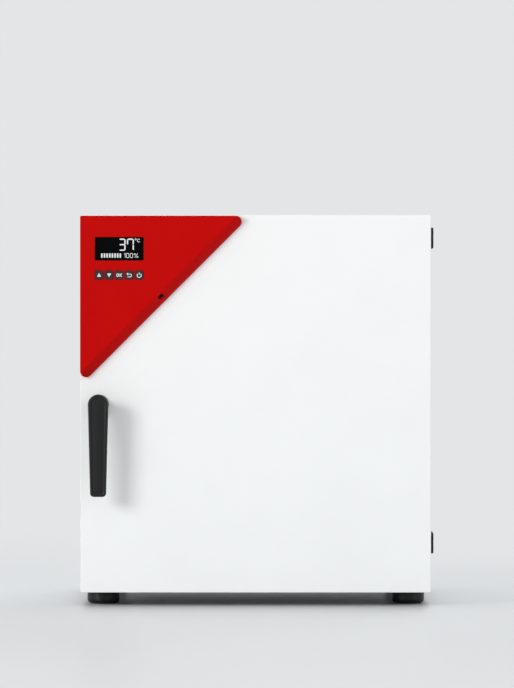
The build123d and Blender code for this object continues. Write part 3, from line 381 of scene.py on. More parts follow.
stainless = brushed_stainless()
zinc_plate = flaked("zinc_plate", "#a9adb1", "#c1c5c8", (0.28, 0.42), flake=5.0)
chrome_wire = flaked("chrome_wire", "#d6d9dc", "#e2e5e7", (0.08, 0.14), flake=3.0)
print(stainless.name, zinc_plate.name, chrome_wire.name)

# %% [markdown]
# ## Glass, wool, foam and boards
# Glass is float glass with a faint green in it. Mineral wool is a felt of stretched fibres, the
# door is filled with foam of small cells, and the boards have copper tracks under green lacquer.
# Wool could be made of strands of hair, but panels hide it, so relief on a plain block will do.

# %% Glass and acrylic
def float_glass():
    """Float glass: full transmission, and a faint film of handling in its roughness."""
    material, tree, shader, place = finish("float_glass", {
        "Base Color": linear("#fafdfc"), "Transmission Weight": 1.0, "IOR": 1.52,
    })
    film = add(tree, "ShaderNodeTexNoise", {"Vector": place, "Scale": per(60), "Detail": 4.0})
    spread = add(tree, "ShaderNodeMapRange", {"Value": film.outputs[0], "To Min": 0.0, "To Max": 0.03})
    tree.links.new(spread.outputs[0], shader.inputs["Roughness"])
    return material


def screen_acrylic():
    """Black acrylic pane: almost black, glossy, with a little haze from wiping."""
    material, tree, shader, place = finish("screen_acrylic", {"IOR": 1.49, "Specular IOR Level": 0.03})
    haze = add(tree, "ShaderNodeTexNoise", {"Vector": place, "Scale": per(25), "Detail": 5.0})
    mottled(tree, shader, haze.outputs[0], "#040405", "#08080a", rough=(0.1, 0.18))
    return material


def lit_pixels():
    """Light from the display: white, and a little weaker along soft waves about 4 mm apart."""
    material, tree, shader, place = finish("lit_pixels", {
        "Base Color": linear("#3a3e3f"), "Roughness": 0.4, "Emission Strength": 0.85,
    })
    rows = add(tree, "ShaderNodeTexWave", {"Vector": place, "Scale": per(12)}, bands_direction="Z")
    ends = {0: rows.outputs[1], 6: linear("#dfe5e6"), 7: linear("#f3f6f6")}
    glow = add(tree, "ShaderNodeMix", ends, data_type="RGBA")
    tree.links.new(glow.outputs[2], shader.inputs["Emission Color"])
    return material


glass_clear = float_glass()
acrylic_black = screen_acrylic()
pixel_light = lit_pixels()
key_print = moulded("key_print", "#dfe0e0", "#e9eaea", (0.5, 0.6), grain=1.0, depth=0.01)
print(glass_clear.name, acrylic_black.name, pixel_light.name, key_print.name)


# %% Wool, foam and boards
def mineral_wool():
    """Mineral wool: a noise stretched into fibres, with strong relief and no gloss."""
    material, tree, shader, place = finish("mineral_wool", {"Roughness": 0.95})
    squeezed = add(tree, "ShaderNodeMapping", {"Vector": place, "Scale": (1, 1, 5)}).outputs[0]
    felt = add(tree, "ShaderNodeTexNoise", {"Vector": squeezed, "Scale": per(6), "Detail": 8.0})
    mottled(tree, shader, felt.outputs[0], "#8f8455", "#bfb27c")
    raised(tree, shader, felt.outputs[0], depth=0.8)
    return material


def rigid_foam():
    """Rigid foam: small closed cells of about 1.5 mm, each a shallow pit where it was cut."""
    material, tree, shader, place = finish("rigid_foam", {"Roughness": 0.9})
    cells = add(tree, "ShaderNodeTexVoronoi", {"Vector": place, "Scale": per(1.5)})
    mottled(tree, shader, cells.outputs["Distance"], "#cfc08e", "#e6d9ae")
    raised(tree, shader, cells.outputs["Distance"], depth=0.3)
    return material


def circuit_board():
    """Circuit board: a brick pattern stands for the tracks, which shine through the lacquer."""
    material, tree, shader, place = finish("circuit_board", {"Roughness": 0.35, "IOR": 1.5})
    lacquer = linear("#17502f")
    upright = add(tree, "ShaderNodeMapping", {"Vector": place, "Rotation": (math.pi / 2, 0, 0)})
    tracks = add(tree, "ShaderNodeTexBrick", {
        "Vector": upright.outputs[0], "Scale": per(9), "Mortar Size": 0.08,
        "Color1": lacquer, "Color2": lacquer, "Mortar": linear("#2f7a48"),
    })
    tree.links.new(tracks.outputs[0], shader.inputs["Base Color"])
    raised(tree, shader, tracks.outputs[1], depth=0.03)
    return material


wool = mineral_wool()
foam = rigid_foam()
board_green = circuit_board()
print(wool.name, foam.name, board_green.name)

# %% [markdown]
# ## A finish for each carried-over part
# Parts whose CAD shape is right keep it and only change their material. The materials could be
# given one by one, but a table of names shows at a glance what is made of what.

# %% Finishes for the CAD nodes
node_finishes = {
    coat_white: ("housing_wrap", "front_frame", "rear_panel", "door_skin", "door_inner_panel"),
    zinc_plate: (
        "base_pan", "rear_bulkhead", "hinge_pins", "latch_keeper", "latch_tongue", "glass_brackets",
        "glass_hardware", "fan_wheel", "exhaust_flap", "network_socket", "service_socket",
    ),
    stainless: (
        "inner_chamber", "left_air_baffle", "right_air_baffle", "rear_air_baffle", "exhaust_duct",
        "heater_ring", "temperature_probes", "shaft_bush", "fan_shaft", "glass_pull", "handle_spindle",
    ),
    chrome_wire: ("lower_shelf", "upper_shelf"),
    motor_enamel: ("fan_motor", "glass_magnet"),
    wool: ("tub_insulation", "rear_insulation"),
    foam: ("door_insulation",),
    board_green: ("power_board", "control_board"),
    glass_clear: ("glass_panel",),
    silicone_grey: ("chamber_seal", "door_gasket"),
    socket_black: ("mains_inlet", "display_module", "control_base"),
    coat_black: (
        "door_hinge_upper", "door_hinge_lower", "housing_hinge_upper", "housing_hinge_lower",
        "handle_rosette",
    ),
    abs_red: ("control_cover",),
    acrylic_black: ("display_window",),
    key_rubber: ("key_up", "key_down", "key_ok", "key_back", "key_power"),
    polyamide_black: ("handle_lever",),
    foot_rubber: ("feet",),
}
for material, names in node_finishes.items():
    for name in names:
        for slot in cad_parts[name].material_slots:
            slot.material = material
dressed = [name for names in node_finishes.values() for name in names]
print("finished", len(dressed), "without finish", sorted(set(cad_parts) - set(dressed)))

# %% [markdown]
# ## The cover of the controls
# The cover is one red moulding: a right-angled triangle that stands 20 mm off the door, with
# openings for the screen and five keys, and a bevel along its sloping edge that ends in a short
# steep foot. It could be cut from a block with modifiers, but then every edge would be sharp.
# Here it is a height over the plan: for each point of the plan, the height is the lowest of three
# planes, less a quarter round near every edge. The plan is filled with triangles between the
# outline, its inner copies and the lines where the planes meet.

# %% Plan of the cover
cover_low, cover_high = span("control_cover")
door_face = cover_high[1]
cover_left = cover_low[0]
cover_top = cover_high[2]
cover_side = 271.0
cover_depth = cover_high[1] - cover_low[1]
cover_thickness = 2.4
cover_corner = 2.0
cover_tip = 9.5
bevel_width = 13.0
bevel_foot = 4.0
bevel_rise = (cover_depth - bevel_foot) / bevel_width
foot_start = 1.2
foot_rise = 2.6
foot_blend = 0.6
crest_blend = 1.6
edge_round = 1.0
opening_round = 0.4
ring_margin = 0.3
cover_right = cover_left + cover_side
cover_foot = cover_top - cover_side
cover_plan = rounded(
    [(cover_left, cover_top), (cover_left, cover_foot), (cover_right, cover_top)],
    (cover_corner, cover_tip, cover_tip), steps=18,
)
print("cover outline", len(cover_plan), "points, depth", round(cover_depth, 2), "mm")


def from_slope(points):
    """How far plan points are from the cover's sloping edge."""
    along = (points[..., 0] - cover_left) + (cover_top - points[..., 1])
    return (cover_side - along) / math.sqrt(2)


def from_outline(points, outline):
    """Shortest way from each point to the sides of a closed outline.

    The way from a side's start to the point is split: the share of it along the side is the dot
    product of the two over the side squared, kept from 0 to 1, and what is left is the distance.
    """
    start = outline[None]
    side = np.roll(outline, -1, 0)[None] - start
    way = points[:, None] - start
    share = np.clip((way * side).sum(-1) / (side ** 2).sum(-1), 0, 1)
    return np.linalg.norm(way - share[..., None] * side, axis=-1).min(1)


def inside(points, outline):
    """Even-odd rule: inside, a ray to the right crosses the outline an odd number of times."""
    ends = np.roll(outline, -1, 0)
    x, z = points[:, :1], points[:, 1:]
    spans_it = (outline[:, 1] > z) != (ends[:, 1] > z)
    rise = np.where(ends[:, 1] == outline[:, 1], 1, ends[:, 1] - outline[:, 1])
    cross = outline[:, 0] + (z - outline[:, 1]) * (ends[:, 0] - outline[:, 0]) / rise
    return (spans_it & (x < cross)).sum(1) % 2 == 1


def quarter(distance, radius):
    """How much lower a rounded edge is at a distance from it: r - sqrt(r^2 - (r - d)^2)."""
    left = np.clip(radius - distance, 0, radius)
    return radius - np.sqrt(np.maximum(radius ** 2 - left ** 2, 0))


def soft_min(first, second, blend):
    """The lower of two heights, with a parabola in place of the corner between them."""
    near = np.clip(0.5 + 0.5 * (second - first) / blend, 0, 1)
    return second + (first - second) * near - blend * near * (1 - near)


# %% Openings of the cover
window = span("display_window")
window_play = 0.3
keys = {name: span(name) for name in node_finishes[key_rubber]}
key_rim = 1.0
key_play = 0.4
mouth_half = 4.6
mouth_from_slope = (7.0, 12.4)
holes = [rounded(front_box(*window, -window_play), radii=1.8)]
holes += [rounded(front_box(*key, key_rim - key_play), radii=2.7) for key in keys.values()]
slope_middle = np.array([cover_left + cover_side / 2, cover_top - cover_side / 2])
slope_along = np.array([1, 1]) / math.sqrt(2)
slope_in = np.array([-1, 1]) / math.sqrt(2)
mouth = rounded(rectangle(-mouth_half, mouth_half, *mouth_from_slope), radii=1.0)
holes.append(slope_middle + mouth[:, :1] * slope_along + mouth[:, 1:] * slope_in)
openings = [hole[::-1] for hole in holes]  # clockwise, so that moved_in widens them
print("openings", len(openings))


# %% The cover as heights over its plan
def cover_height(points):
    """Lowest of face, bevel and steep foot, less the rounding at the outline and the openings."""
    slope = from_slope(points)
    height = soft_min(bevel_foot + bevel_rise * slope, foot_start + foot_rise * slope, foot_blend)
    height = soft_min(cover_depth, height, crest_blend)
    height = height - quarter(from_outline(points, cover_plan), edge_round)
    for opening in openings:
        height = height - quarter(from_outline(points, opening), opening_round)
    return np.minimum(height, cover_depth)


def crossing(outline, distance):
    """Where the line at a distance from the slope meets an outline: two points."""
    value = from_slope(outline) - distance
    after = np.roll(value, -1)
    at = np.flatnonzero((value > 0) != (after > 0))
    share = (value[at] / (value[at] - after[at]))[:, None]
    return outline[at] + share * (np.roll(outline, -1, 0)[at] - outline[at])


def filled(loops, lines, outer, holes):
    """Triangles between closed loops and open lines, inside the outer loop and outside the holes."""
    points = np.vstack(loops + lines)
    sizes = [len(loop) for loop in loops + lines]
    starts = np.cumsum([0] + sizes)
    edges = []
    for index, (start, size) in enumerate(zip(starts, sizes)):
        number = np.arange(start, start + size)
        pairs = np.column_stack([number, np.roll(number, -1)])
        is_loop = index < len(loops)
        edges += pairs[:size if is_loop else size - 1].tolist()
    same_point = 1e-5
    result = delaunay_2d_cdt([Vector(point) for point in points.tolist()], edges, [], 0, same_point)
    points = np.array([tuple(point) for point in result[0]])
    faces = np.array(result[2])
    middle = points[faces].mean(1)
    keep = inside(middle, outer)
    for hole in holes:
        keep &= ~inside(middle, hole)
    return points, faces[keep]


def cover_surface():
    """Front of the cover over its filled plan, and a wall from its outline down to the door."""
    turn = np.linspace(0, math.pi / 2, 6)
    edge_rows = np.append(edge_round * (1 - np.cos(turn)), edge_round + ring_margin)
    outer = list(moved_in(cover_plan, edge_rows))
    rim_rows = np.append(opening_round * (1 - np.cos(turn[::2])), opening_round + ring_margin)
    rims = [ring for opening in openings for ring in moved_in(opening, rim_rows)]
    foot_line = (bevel_foot - foot_start) / (foot_rise - bevel_rise)
    near_foot = foot_line + np.array([-0.5, -0.2, 0.2, 0.5])
    near_crest = bevel_width + np.array([-1.4, -1.1, -0.5, 0.0, 0.6, 1.1, 1.6])
    lines = [crossing(outer[-1], distance) for distance in (*near_foot, *near_crest)]
    plan, faces = filled(outer + rims, lines, cover_plan, openings)
    front = lifted(plan, cover_height(plan) - door_face, front_view)
    wall_height = np.stack([cover_height(cover_plan), np.zeros(len(cover_plan))])
    wall = lifted(np.stack([cover_plan, cover_plan]), wall_height - door_face, front_view)
    return together((front, faces.tolist()), (wall, grid_faces(2, len(cover_plan))))


cover = piece(
    "control_cover_moulding", cover_surface(), abs_red, "door", ["control_cover"], crease=40
)
cover_wall = cover.modifiers.new("wall", "SOLIDIFY")
cover_wall.thickness = cover_thickness * mm
cover_wall.offset = -1

# %% [markdown]
# ## Screen
# Behind a black acrylic pane sits a small display. It shows the temperature in seven-bar figures
# and, below, the fan speed as a row of full blocks and as a share. Each figure is made of thin
# plates that lie on the pane, because a print on a real pane has no depth that could be seen. An
# image of the figures could be laid on the pane, but plates keep sharp edges at any distance.

# %% Pane
pane_face = -window[0][1]
pane_outline = rounded(front_box(*window), radii=1.6)
pane = slab(pane_outline, -window[1][1], pane_face, rounding=0.3, view=front_view)
piece("display_pane", pane, acrylic_black, "door", ["display_window"])


# %% Prints: lines and plates
print_depth = 0.06
print_sink = 0.1
print_edge = 0.01


def stroke(path, width, face, closed=False):
    """A printed line: a thin four-cornered section carried along a path on a front face."""
    spots = lifted(path, face - print_sink, front_view)
    outward = np.cross(front_view[1], front_view[2])
    thickness = print_sink + print_depth
    section = [(-width / 2, 0), (width / 2, 0), (width / 2, thickness), (-width / 2, thickness)]
    return swept(spots, section, outward, closed)


def printed(face, width=0, loops=(), lines=(), plates=()):
    """A print on a front face: closed and open lines of one width, and thin filled plates."""
    shapes = [stroke(path, width, face, closed=True) for path in loops]
    shapes += [stroke(path, width, face) for path in lines]
    for outline in plates:
        shapes.append(slab(outline, face - print_sink, face + print_depth, print_edge, front_view))
    return together(*shapes)


def arc(centre, radius, start, end, steps=20):
    """Points on an arc, its angles in degrees, counter-clockwise from the right."""
    angle = np.radians(np.linspace(start, end, steps))
    return np.column_stack([centre[0] + radius * np.cos(angle), centre[1] + radius * np.sin(angle)])


# %% Temperature figures
figure_low = 567.5
figure_height = 19.6
figure_line = 2.1
bar_gap = 0.1


def bar_figure(bars, left, width):
    """Outlines of a seven-bar figure: each bar is a long hexagon between two of its corners."""
    ends = {
        "top": ((0, 2), (1, 2)), "middle": ((0, 1), (1, 1)), "bottom": ((0, 0), (1, 0)),
        "left_up": ((0, 1), (0, 2)), "right_up": ((1, 1), (1, 2)),
        "left_low": ((0, 0), (0, 1)), "right_low": ((1, 0), (1, 1)),
    }
    half_line = figure_line / 2
    place = np.array([left + half_line, figure_low + half_line])
    reach = np.array([width - figure_line, figure_height / 2 - half_line])
    outlines = []
    for bar in bars:
        start, end = place + np.array(ends[bar]) * reach
        along = unit(end - start)
        across = np.array([-along[1], along[0]]) * half_line
        tip = along * half_line
        start, end = start + along * bar_gap, end - along * bar_gap
        near, far = start + tip, end - tip
        outlines.append([start, near - across, far - across, end, far + across, near + across])
    return outlines


three = bar_figure(("top", "right_up", "middle", "right_low", "bottom"), left=-220.9, width=11.0)
seven = bar_figure(("left_up", "top", "right_up", "right_low"), left=-207.9, width=11.2)
temperature = printed(pane_face, plates=three + seven)
piece("display_temperature", temperature, pixel_light, "door")
degree_ring = arc((-193.9, 585.9), 1.1, 0, 342)
celsius = arc((-188.9, 583.9), 2.3, 48, 312, 18)
degree = together(printed(pane_face, 0.7, loops=[degree_ring]), printed(pane_face, 0.9, lines=[celsius]))
piece("display_degree_mark", degree, pixel_light, "door")

# %% Fan speed row
small_line = 0.85
row_low = 556.6
row_high = 563.4
zero_width = 4.0
dot_radius = 1.0
dot_reach = 1.2
blocks_left = -249.0
block_count = 8
block_width = 2.5
block_pitch = 4.2
one = [(-212.4, 562.0), (-210.6, row_high), (-210.6, row_low)]
zeros = [rectangle(left, left + zero_width, row_low, row_high) for left in (-208.6, -202.6)]
slash = [(-195.6, row_low), (-190.8, row_high)]
dots = ((-195.3, row_high - dot_reach), (-191.1, row_low + dot_reach))
rings = [rounded(zero, radii=1.4) for zero in zeros] + [arc(dot, dot_radius, 0, 330, 12) for dot in dots]
lefts = blocks_left + block_pitch * np.arange(block_count)
blocks = [rectangle(left, left + block_width, row_low, row_high) for left in lefts]
speed = printed(pane_face, small_line, loops=rings, lines=[one, slash], plates=blocks)
piece("display_fan_speed", speed, pixel_light, "door")

# %% [markdown]
# ## Keys
# Five soft black keys with white marks. Each cap is a plate with a rounded edge, and behind it sits
# the wider rim that keeps it in the cover, with the stem that presses its switch. Text objects
# could give the marks, but a few strokes of one width look more like the print on a real key.

# %% Caps
cap_height = 3.5
rim_thickness = 1.2
stem_half = 2


def key_shape(low, high):
    """Cap, rim and stem of one key, stacked from front to back."""
    face = -low[1]
    rim_front = face - cap_height
    rim_back = rim_front - rim_thickness
    middle = ((low + high) / 2)[[0, 2]]
    cap = rounded(front_box(low, high, key_rim), radii=2.4)
    rim = rounded(front_box(low, high), radii=2.0)
    stem = rounded(middle + rectangle(-stem_half, stem_half, -stem_half, stem_half), radii=0.5)
    return together(
        slab(cap, rim_front, face, rounding=0.7, view=front_view),
        slab(rim, rim_back, rim_front, rounding=0.1, view=front_view),
        slab(stem, -high[1], rim_back, rounding=0.1, view=front_view),
    )


# %% Marks
mark_line = 1.2
arrowhead = np.array([(-3.3, -2.6), (3.3, -2.6), (0, 3.3)])
hook = np.vstack([[(-2.2, 1.7)], arc((1.4, -0.6), 2.3, 90, -90, 14), [(-2.6, -2.9)]])
marks = {
    "key_up": {"plates": [arrowhead]},
    "key_down": {"plates": [-arrowhead]},
    "key_ok": {
        "loops": [rounded(rectangle(-3.9, -0.8, -2.0, 2.0), radii=1.2)],
        "lines": [[(1.2, -2.6), (1.2, 2.6)], [(4.2, 2.6), (1.9, 0), (4.2, -2.6)]],
    },
    "key_back": {"lines": [hook], "plates": [[(-1.7, 4.1), (-4.4, 1.7), (-1.7, -0.7)]]},
    "key_power": {"lines": [arc((0, -0.4), 3.3, 130, 410, 26), [(0, 0.4), (0, 4.2)]]},
}


def key_mark(name, middle, face):
    """White print on a key, from its lines and plates about the middle of the cap."""
    moved = {kind: [middle + np.array(path) for path in paths] for kind, paths in marks[name].items()}
    return printed(face, mark_line, **moved)


for name, (low, high) in keys.items():
    body = name + "_cap"
    piece(name + "_pad", key_shape(low, high), key_rubber, body, [name])
    middle = ((low + high) / 2)[[0, 2]]
    piece(name + "_mark", key_mark(name, middle, -low[1]), key_print, body)

# %% [markdown]
# ## Handle
# The lever is a black moulding: a round head over the neck and a slimmer free end. Its front has a
# raised rim, a shallow valley inside it and a low crown along the middle, which catches the light
# as a soft stripe. A block with bevels would look like a ruler. The surface is worked out between
# the outline and a spine down the middle: at share f it lies at spine + f * (outline - spine), and
# a table gives its depth for each f, so that every ring follows the outline.

# %% Lever
lever_low, lever_high = span("handle_lever")
head_radius = 16.25
grip_foot_half = 12.85
grip_foot_radius = 6.4
lever_x = (lever_low[0] + lever_high[0]) / 2
lever_z = lever_high[2] - head_radius
lever_drop = lever_z - lever_low[2]
lever_front = -lever_low[1]
lever_thickness = 17.0
lever_waist = 12.0
bow_start = 0.11


def grip_outline():
    """Round head and two foot corners joined by the lines that touch them on both sides."""
    foot = np.array([grip_foot_half - grip_foot_radius, -lever_drop + grip_foot_radius])
    reach = np.linalg.norm(foot)
    slant = math.acos((head_radius - grip_foot_radius) / reach)
    tilt = math.degrees(math.atan2(foot[1], foot[0]) + slant)
    head = arc((0, 0), head_radius, tilt, 180 - tilt, 41)
    left = arc((-foot[0], foot[1]), grip_foot_radius, 180 - tilt, 270, 12)
    right = arc(foot, grip_foot_radius, 270, 360 + tilt, 12)
    share = np.linspace(0, 1, 26)[1:-1, None]
    down = head[-1] + share * (left[0] - head[-1])
    up = right[-1] + share * (head[0] - right[-1])
    return np.vstack([head, down, left, right, up])


def lever_surface():
    """Rings between outline and spine: from the back over the side to the rim, valley and crown."""
    outline = grip_outline()
    spine_height = np.clip(outline[:, 1], grip_foot_half - lever_drop, 0)
    spine = np.column_stack([np.zeros(len(outline)), spine_height])
    front_share = np.array([1.0, 0.985, 0.95, 0.89, 0.83, 0.79, 0.75, 0.70, 0.62, 0.5, 0.36, 0.2, 0.0])
    front_depth = np.array([6.0, 4.4, 2.7, 1.1, 0.25, 0.0, 0.25, 0.8, 1.1, 0.85, 0.5, 0.3, 0.25])
    back_share = np.array([0.0, 0.4, 0.80, 0.90, 0.96, 0.99, 1.0])
    back_lift = np.array([0.0, 0.0, 0.0, 0.5, 1.6, 3.0, 4.2])
    share = np.concatenate([back_share, front_share])
    rows = spine + share[:, None, None] * (outline - spine)
    way = np.clip(-rows[..., 1] / lever_drop, 0, 1)
    bow = np.clip(np.sin(math.pi * np.clip((way - bow_start) / (1 - bow_start), 0, 1)), 0, 1)
    thickness = lever_thickness - (lever_thickness - lever_waist) * bow
    depth = np.concatenate([
        thickness[:len(back_share)] - back_lift[:, None],
        np.broadcast_to(front_depth[:, None], (len(front_share), len(outline))),
    ])
    place = rows + np.array([lever_x, lever_z])
    return lifted(place, lever_front - depth, front_view), grid_faces(*rows.shape[:2])


rosette_low, rosette_high = span("handle_rosette")
rosette_front = -rosette_low[1]
neck_base = rosette_front + 0.3
lever_back = lever_front - lever_thickness
neck_profile = [
    (0, neck_base), (10.2, neck_base), (10.9, neck_base + 0.6), (10.9, neck_base + 22),
    (11.6, neck_base + 28), (13.2, lever_back - 0.2), (13.2, lever_back + 3), (0, lever_back + 3),
]
lever_axis = ((lever_x, 0, lever_z), (0, -1, 0))
neck = turned(neck_profile, *lever_axis)
grip = together(lever_surface(), neck)
piece("handle_grip", grip, polyamide_black, "handle", ["handle_lever"], crease=50)

# %% Rosette
sleeve_end = -rosette_high[1]
rosette_profile = [
    (12.0, rosette_front - 0.6), (12.2, rosette_front), (13.4, rosette_front),
    (14.6, rosette_front - 0.4), (15.3, rosette_front - 1.5), (15.6, rosette_front - 5),
    (8.0, rosette_front - 5), (8.0, sleeve_end), (6.0, sleeve_end), (6.0, rosette_front - 0.6),
]
rosette = turned(rosette_profile, *lever_axis, ring=True)
piece("handle_rose", rosette, polyamide_black, "door", ["handle_rosette"])

# %% [markdown]
# ## Feet
# Four rubber feet with a rounded lower edge, hollow in the middle for their screw. A cylinder with
# a bevel would be quicker, but turning a profile gives the lip and the hollow in one go.

# %% Turned feet
feet_low, feet_high = span("feet")
foot_radius = 26.0
foot_height = feet_high[2]
foot_profile = [
    (0, 7), (6.5, 7), (7, 6.5), (7.6, 0.6), (8.4, 0), (18.5, 0), (21.2, 0.6), (23.6, 2.0), (25.2, 4.2),
    (25.9, 7.0), (foot_radius, 9.0), (foot_radius, foot_height - 1.4), (25.6, foot_height - 0.4),
    (25.0, foot_height), (0, foot_height),
]
for side, x in (("left", feet_low[0] + foot_radius), ("right", feet_high[0] - foot_radius)):
    for end, y in (("front", feet_low[1] + foot_radius), ("rear", feet_high[1] - foot_radius)):
        foot = turned(foot_profile, (x, y, 0), (0, 0, 1), 56)
        piece(f"foot_{end}_{side}", foot, foot_rubber, "cabinet", ["feet"])

# %% [markdown]
# ## Wire racks
# The shelves are chromed wire: a frame of 6 mm wire bent round its corners, thin cross wires
# welded on, and two stays below them. The CAD model has flat bars in their place. Curves with a
# round bevel could be used, but a section carried along a path gives one closed mesh at once.

# %% Racks
frame_radius = 3.0
frame_bend = 14.0
cross_radius = 1.5
cross_pitch = 22.0
cross_margin = 30
stay_radius = 2.0
stay_shares = (0.33, 0.67)


def wire_rack(low, high):
    """Frame, cross wires and stays of one shelf, from the box of its CAD node."""
    left, right = low[0] + frame_radius, high[0] - frame_radius
    front, rear = low[1] + frame_radius, high[1] - frame_radius
    bend = rounded(rectangle(left, right, front, rear), frame_bend, steps=8)
    path = lifted(bend, low[2] + frame_radius, top_view)
    wires = [swept(path, disc(frame_radius), (0, 0, 1), closed=True)]
    height = high[2] - cross_radius
    count = int((high[0] - low[0] - cross_margin) / cross_pitch)
    for x in (low[0] + high[0]) / 2 + (np.arange(count + 1) - count / 2) * cross_pitch:
        wires.append(swept([(x, front, height), (x, rear, height)], disc(cross_radius, 8), (0, 0, 1)))
    for share in stay_shares:
        y = low[1] + share * (high[1] - low[1])
        path = [(left, y, low[2] + stay_radius), (right, y, low[2] + stay_radius)]
        wires.append(swept(path, disc(stay_radius, 10), (0, 0, 1)))
    return together(*wires)


for name in ("lower_shelf", "upper_shelf"):
    piece(name + "_wires", wire_rack(*span(name)), chrome_wire, "cabinet", [name])

# %% [markdown]
# ## Seals
# The door carries a silicone seal with a foot in its groove, a waist and a hollow bulb that is
# pressed against the housing. The glass door lies on a low half-round bead. Both could be cut from
# frames with bevels, but one section carried round a rounded rectangle keeps its width in the corners.

# %% Seal sections
bulb = np.array([
    (-4, 0), (4, 0), (4, 1.6), (2.2, 2.4), (2.0, 3.4), (3.2, 4.6), (4.0, 6.4), (3.4, 8.4), (1.8, 9.5),
    (0, 9.7), (-1.8, 9.5), (-3.4, 8.4), (-4.0, 6.4), (-3.2, 4.6), (-2.0, 3.4), (-2.2, 2.4), (-4, 1.6),
])
bead = np.array([
    (-3.5, 0), (3.5, 0), (3.5, 1.2), (2.6, 2.7), (0.9, 3.6), (-0.9, 3.6), (-2.6, 2.7), (-3.5, 1.2),
])


def seal_ring(node, section, inset, radius, way):
    """A section round a node's box: way 1 starts at its front and rises to the rear, -1 reversed."""
    low, high = span(node)
    path = rounded(front_box(low, high, inset), radius, steps=8)
    base = low[1] if way > 0 else high[1]
    return swept(lifted(path, -base, front_view), section, (0, way, 0), closed=True)


gasket = seal_ring("door_gasket", bulb, inset=4.0, radius=12.0, way=1)
piece("door_gasket_bulb", gasket, silicone_grey, "door", ["door_gasket"], crease=40)
seal = seal_ring("chamber_seal", bead, inset=3.5, radius=11.0, way=-1)
piece("chamber_seal_bead", seal, silicone_grey, "cabinet", ["chamber_seal"], crease=40)

# %% [markdown]
# ## Hinges and screws
# Each hinge is two black castings on one pin: a leaf with rounded edges, a web and half a barrel.
# The CAD solids could be bevelled as they are, but their meshes are loose triangles, so they are
# built anew. The screws are turned pan heads whose inner rows follow a hexagon, for the socket.

# %% Screw heads
head_profile = np.array([
    (0, 0.3), (0.36, 0.3), (0.38, 0.62), (0.5, 0.66), (0.8, 0.56), (0.96, 0.34), (1, 0), (0, -0.05),
])
head_steps = 24
screw_radius = 3.6
socket_rows = slice(1, 3)
socket_share = 0.92


def screw_head(centre, axis, radius, rise=1.0):
    """Head with a hexagon socket: the radius of its socket rows is r / cos of the angle to a flat."""
    centre, axis = np.array(centre, float), np.array(axis, float)
    points, faces = turned(head_profile * radius * (1, rise), centre, axis, head_steps)
    to_flat = (full_turn(head_steps) + math.pi / 6) % (math.pi / 3) - math.pi / 6
    away = points[socket_rows] - centre
    along = (away @ axis)[..., None] * axis
    points[socket_rows] = centre + along + (away - along) * socket_share / np.cos(to_flat)[:, None]
    return points, faces


# %% Hinge castings
leaf_length = 30.0
leaf_half = 16.5
leaf_corner = 3.5
leaf_setback = 0.7
leaf_face = span("door_hinge_upper")[1][0]
leaf_seat = leaf_face - 5.0
web_overlap = 4
web_thickness = 3.4
half_gap = 0.2
barrel_radius = 4.5
pin_low, pin_high = span("hinge_pins")
pin_y = (pin_low[1] + pin_high[1]) / 2
pin_x = (pin_low[0] + pin_high[0]) / 2
flat_rise = 0.29
flat_sink = 0.05
screw_shift = 2
screw_up = 8


def hinge_casting(node, side):
    """Leaf, web and barrel half of a hinge; side is -1 on the door and +1 on the housing."""
    low, high = span(node)
    if side < 0:
        middle, far = high[2] - leaf_half, low[1]
        start, end = middle + half_gap, middle + leaf_half
    else:
        middle, far = low[2] + leaf_half, high[1]
        start, end = middle - leaf_half, middle - half_gap
    near = far - side * leaf_length
    across = sorted((far, near))
    leaf_outline = rounded(rectangle(*across, middle - leaf_half, middle + leaf_half), leaf_corner)
    leaf = slab(leaf_outline, leaf_seat, leaf_face - leaf_setback, rounding=1.4, view=right_view)
    web_across = sorted((near + side * web_overlap, pin_y))
    web_outline = rounded(rectangle(*web_across, start, end), radii=0.4)
    web = slab(web_outline, leaf_seat, leaf_seat + web_thickness, rounding=0.3, view=right_view)
    height = end - start
    lower_end = [(2.7, 0), (3.9, 0), (4.4, 0.5), (barrel_radius, 1.2)]
    upper_end = [(radius, height - up) for radius, up in reversed(lower_end)]
    barrel = turned(lower_end + upper_end, (pin_x, pin_y, start), (0, 0, 1), 32, ring=True)
    return together(leaf, web, barrel), (sum(across) / 2, middle)


hinge_screws = {"door": [], "cabinet": []}
for end in ("upper", "lower"):
    for kind, side, body in (("door", -1, "door"), ("housing", 1, "cabinet")):
        node = f"{kind}_hinge_{end}"
        casting, (y, z) = hinge_casting(node, side)
        piece(node + "_casting", casting, coat_black, body, [node])
        for up in (-screw_up, screw_up):
            seat = (leaf_face - leaf_setback - flat_sink, y + side * screw_shift, z + up)
            hinge_screws[body].append(screw_head(seat, (1, 0, 0), screw_radius, flat_rise))
for body, heads in hinge_screws.items():
    piece(f"hinge_screws_{body}", together(*heads), zinc_plate, body)

# %% [markdown]
# ## Back of the cabinet
# The rear panel is held by screws all round. The mains inlet has its own two screws. Each head
# could be an object of its own, but all of them sit still, so they are joined into one mesh.

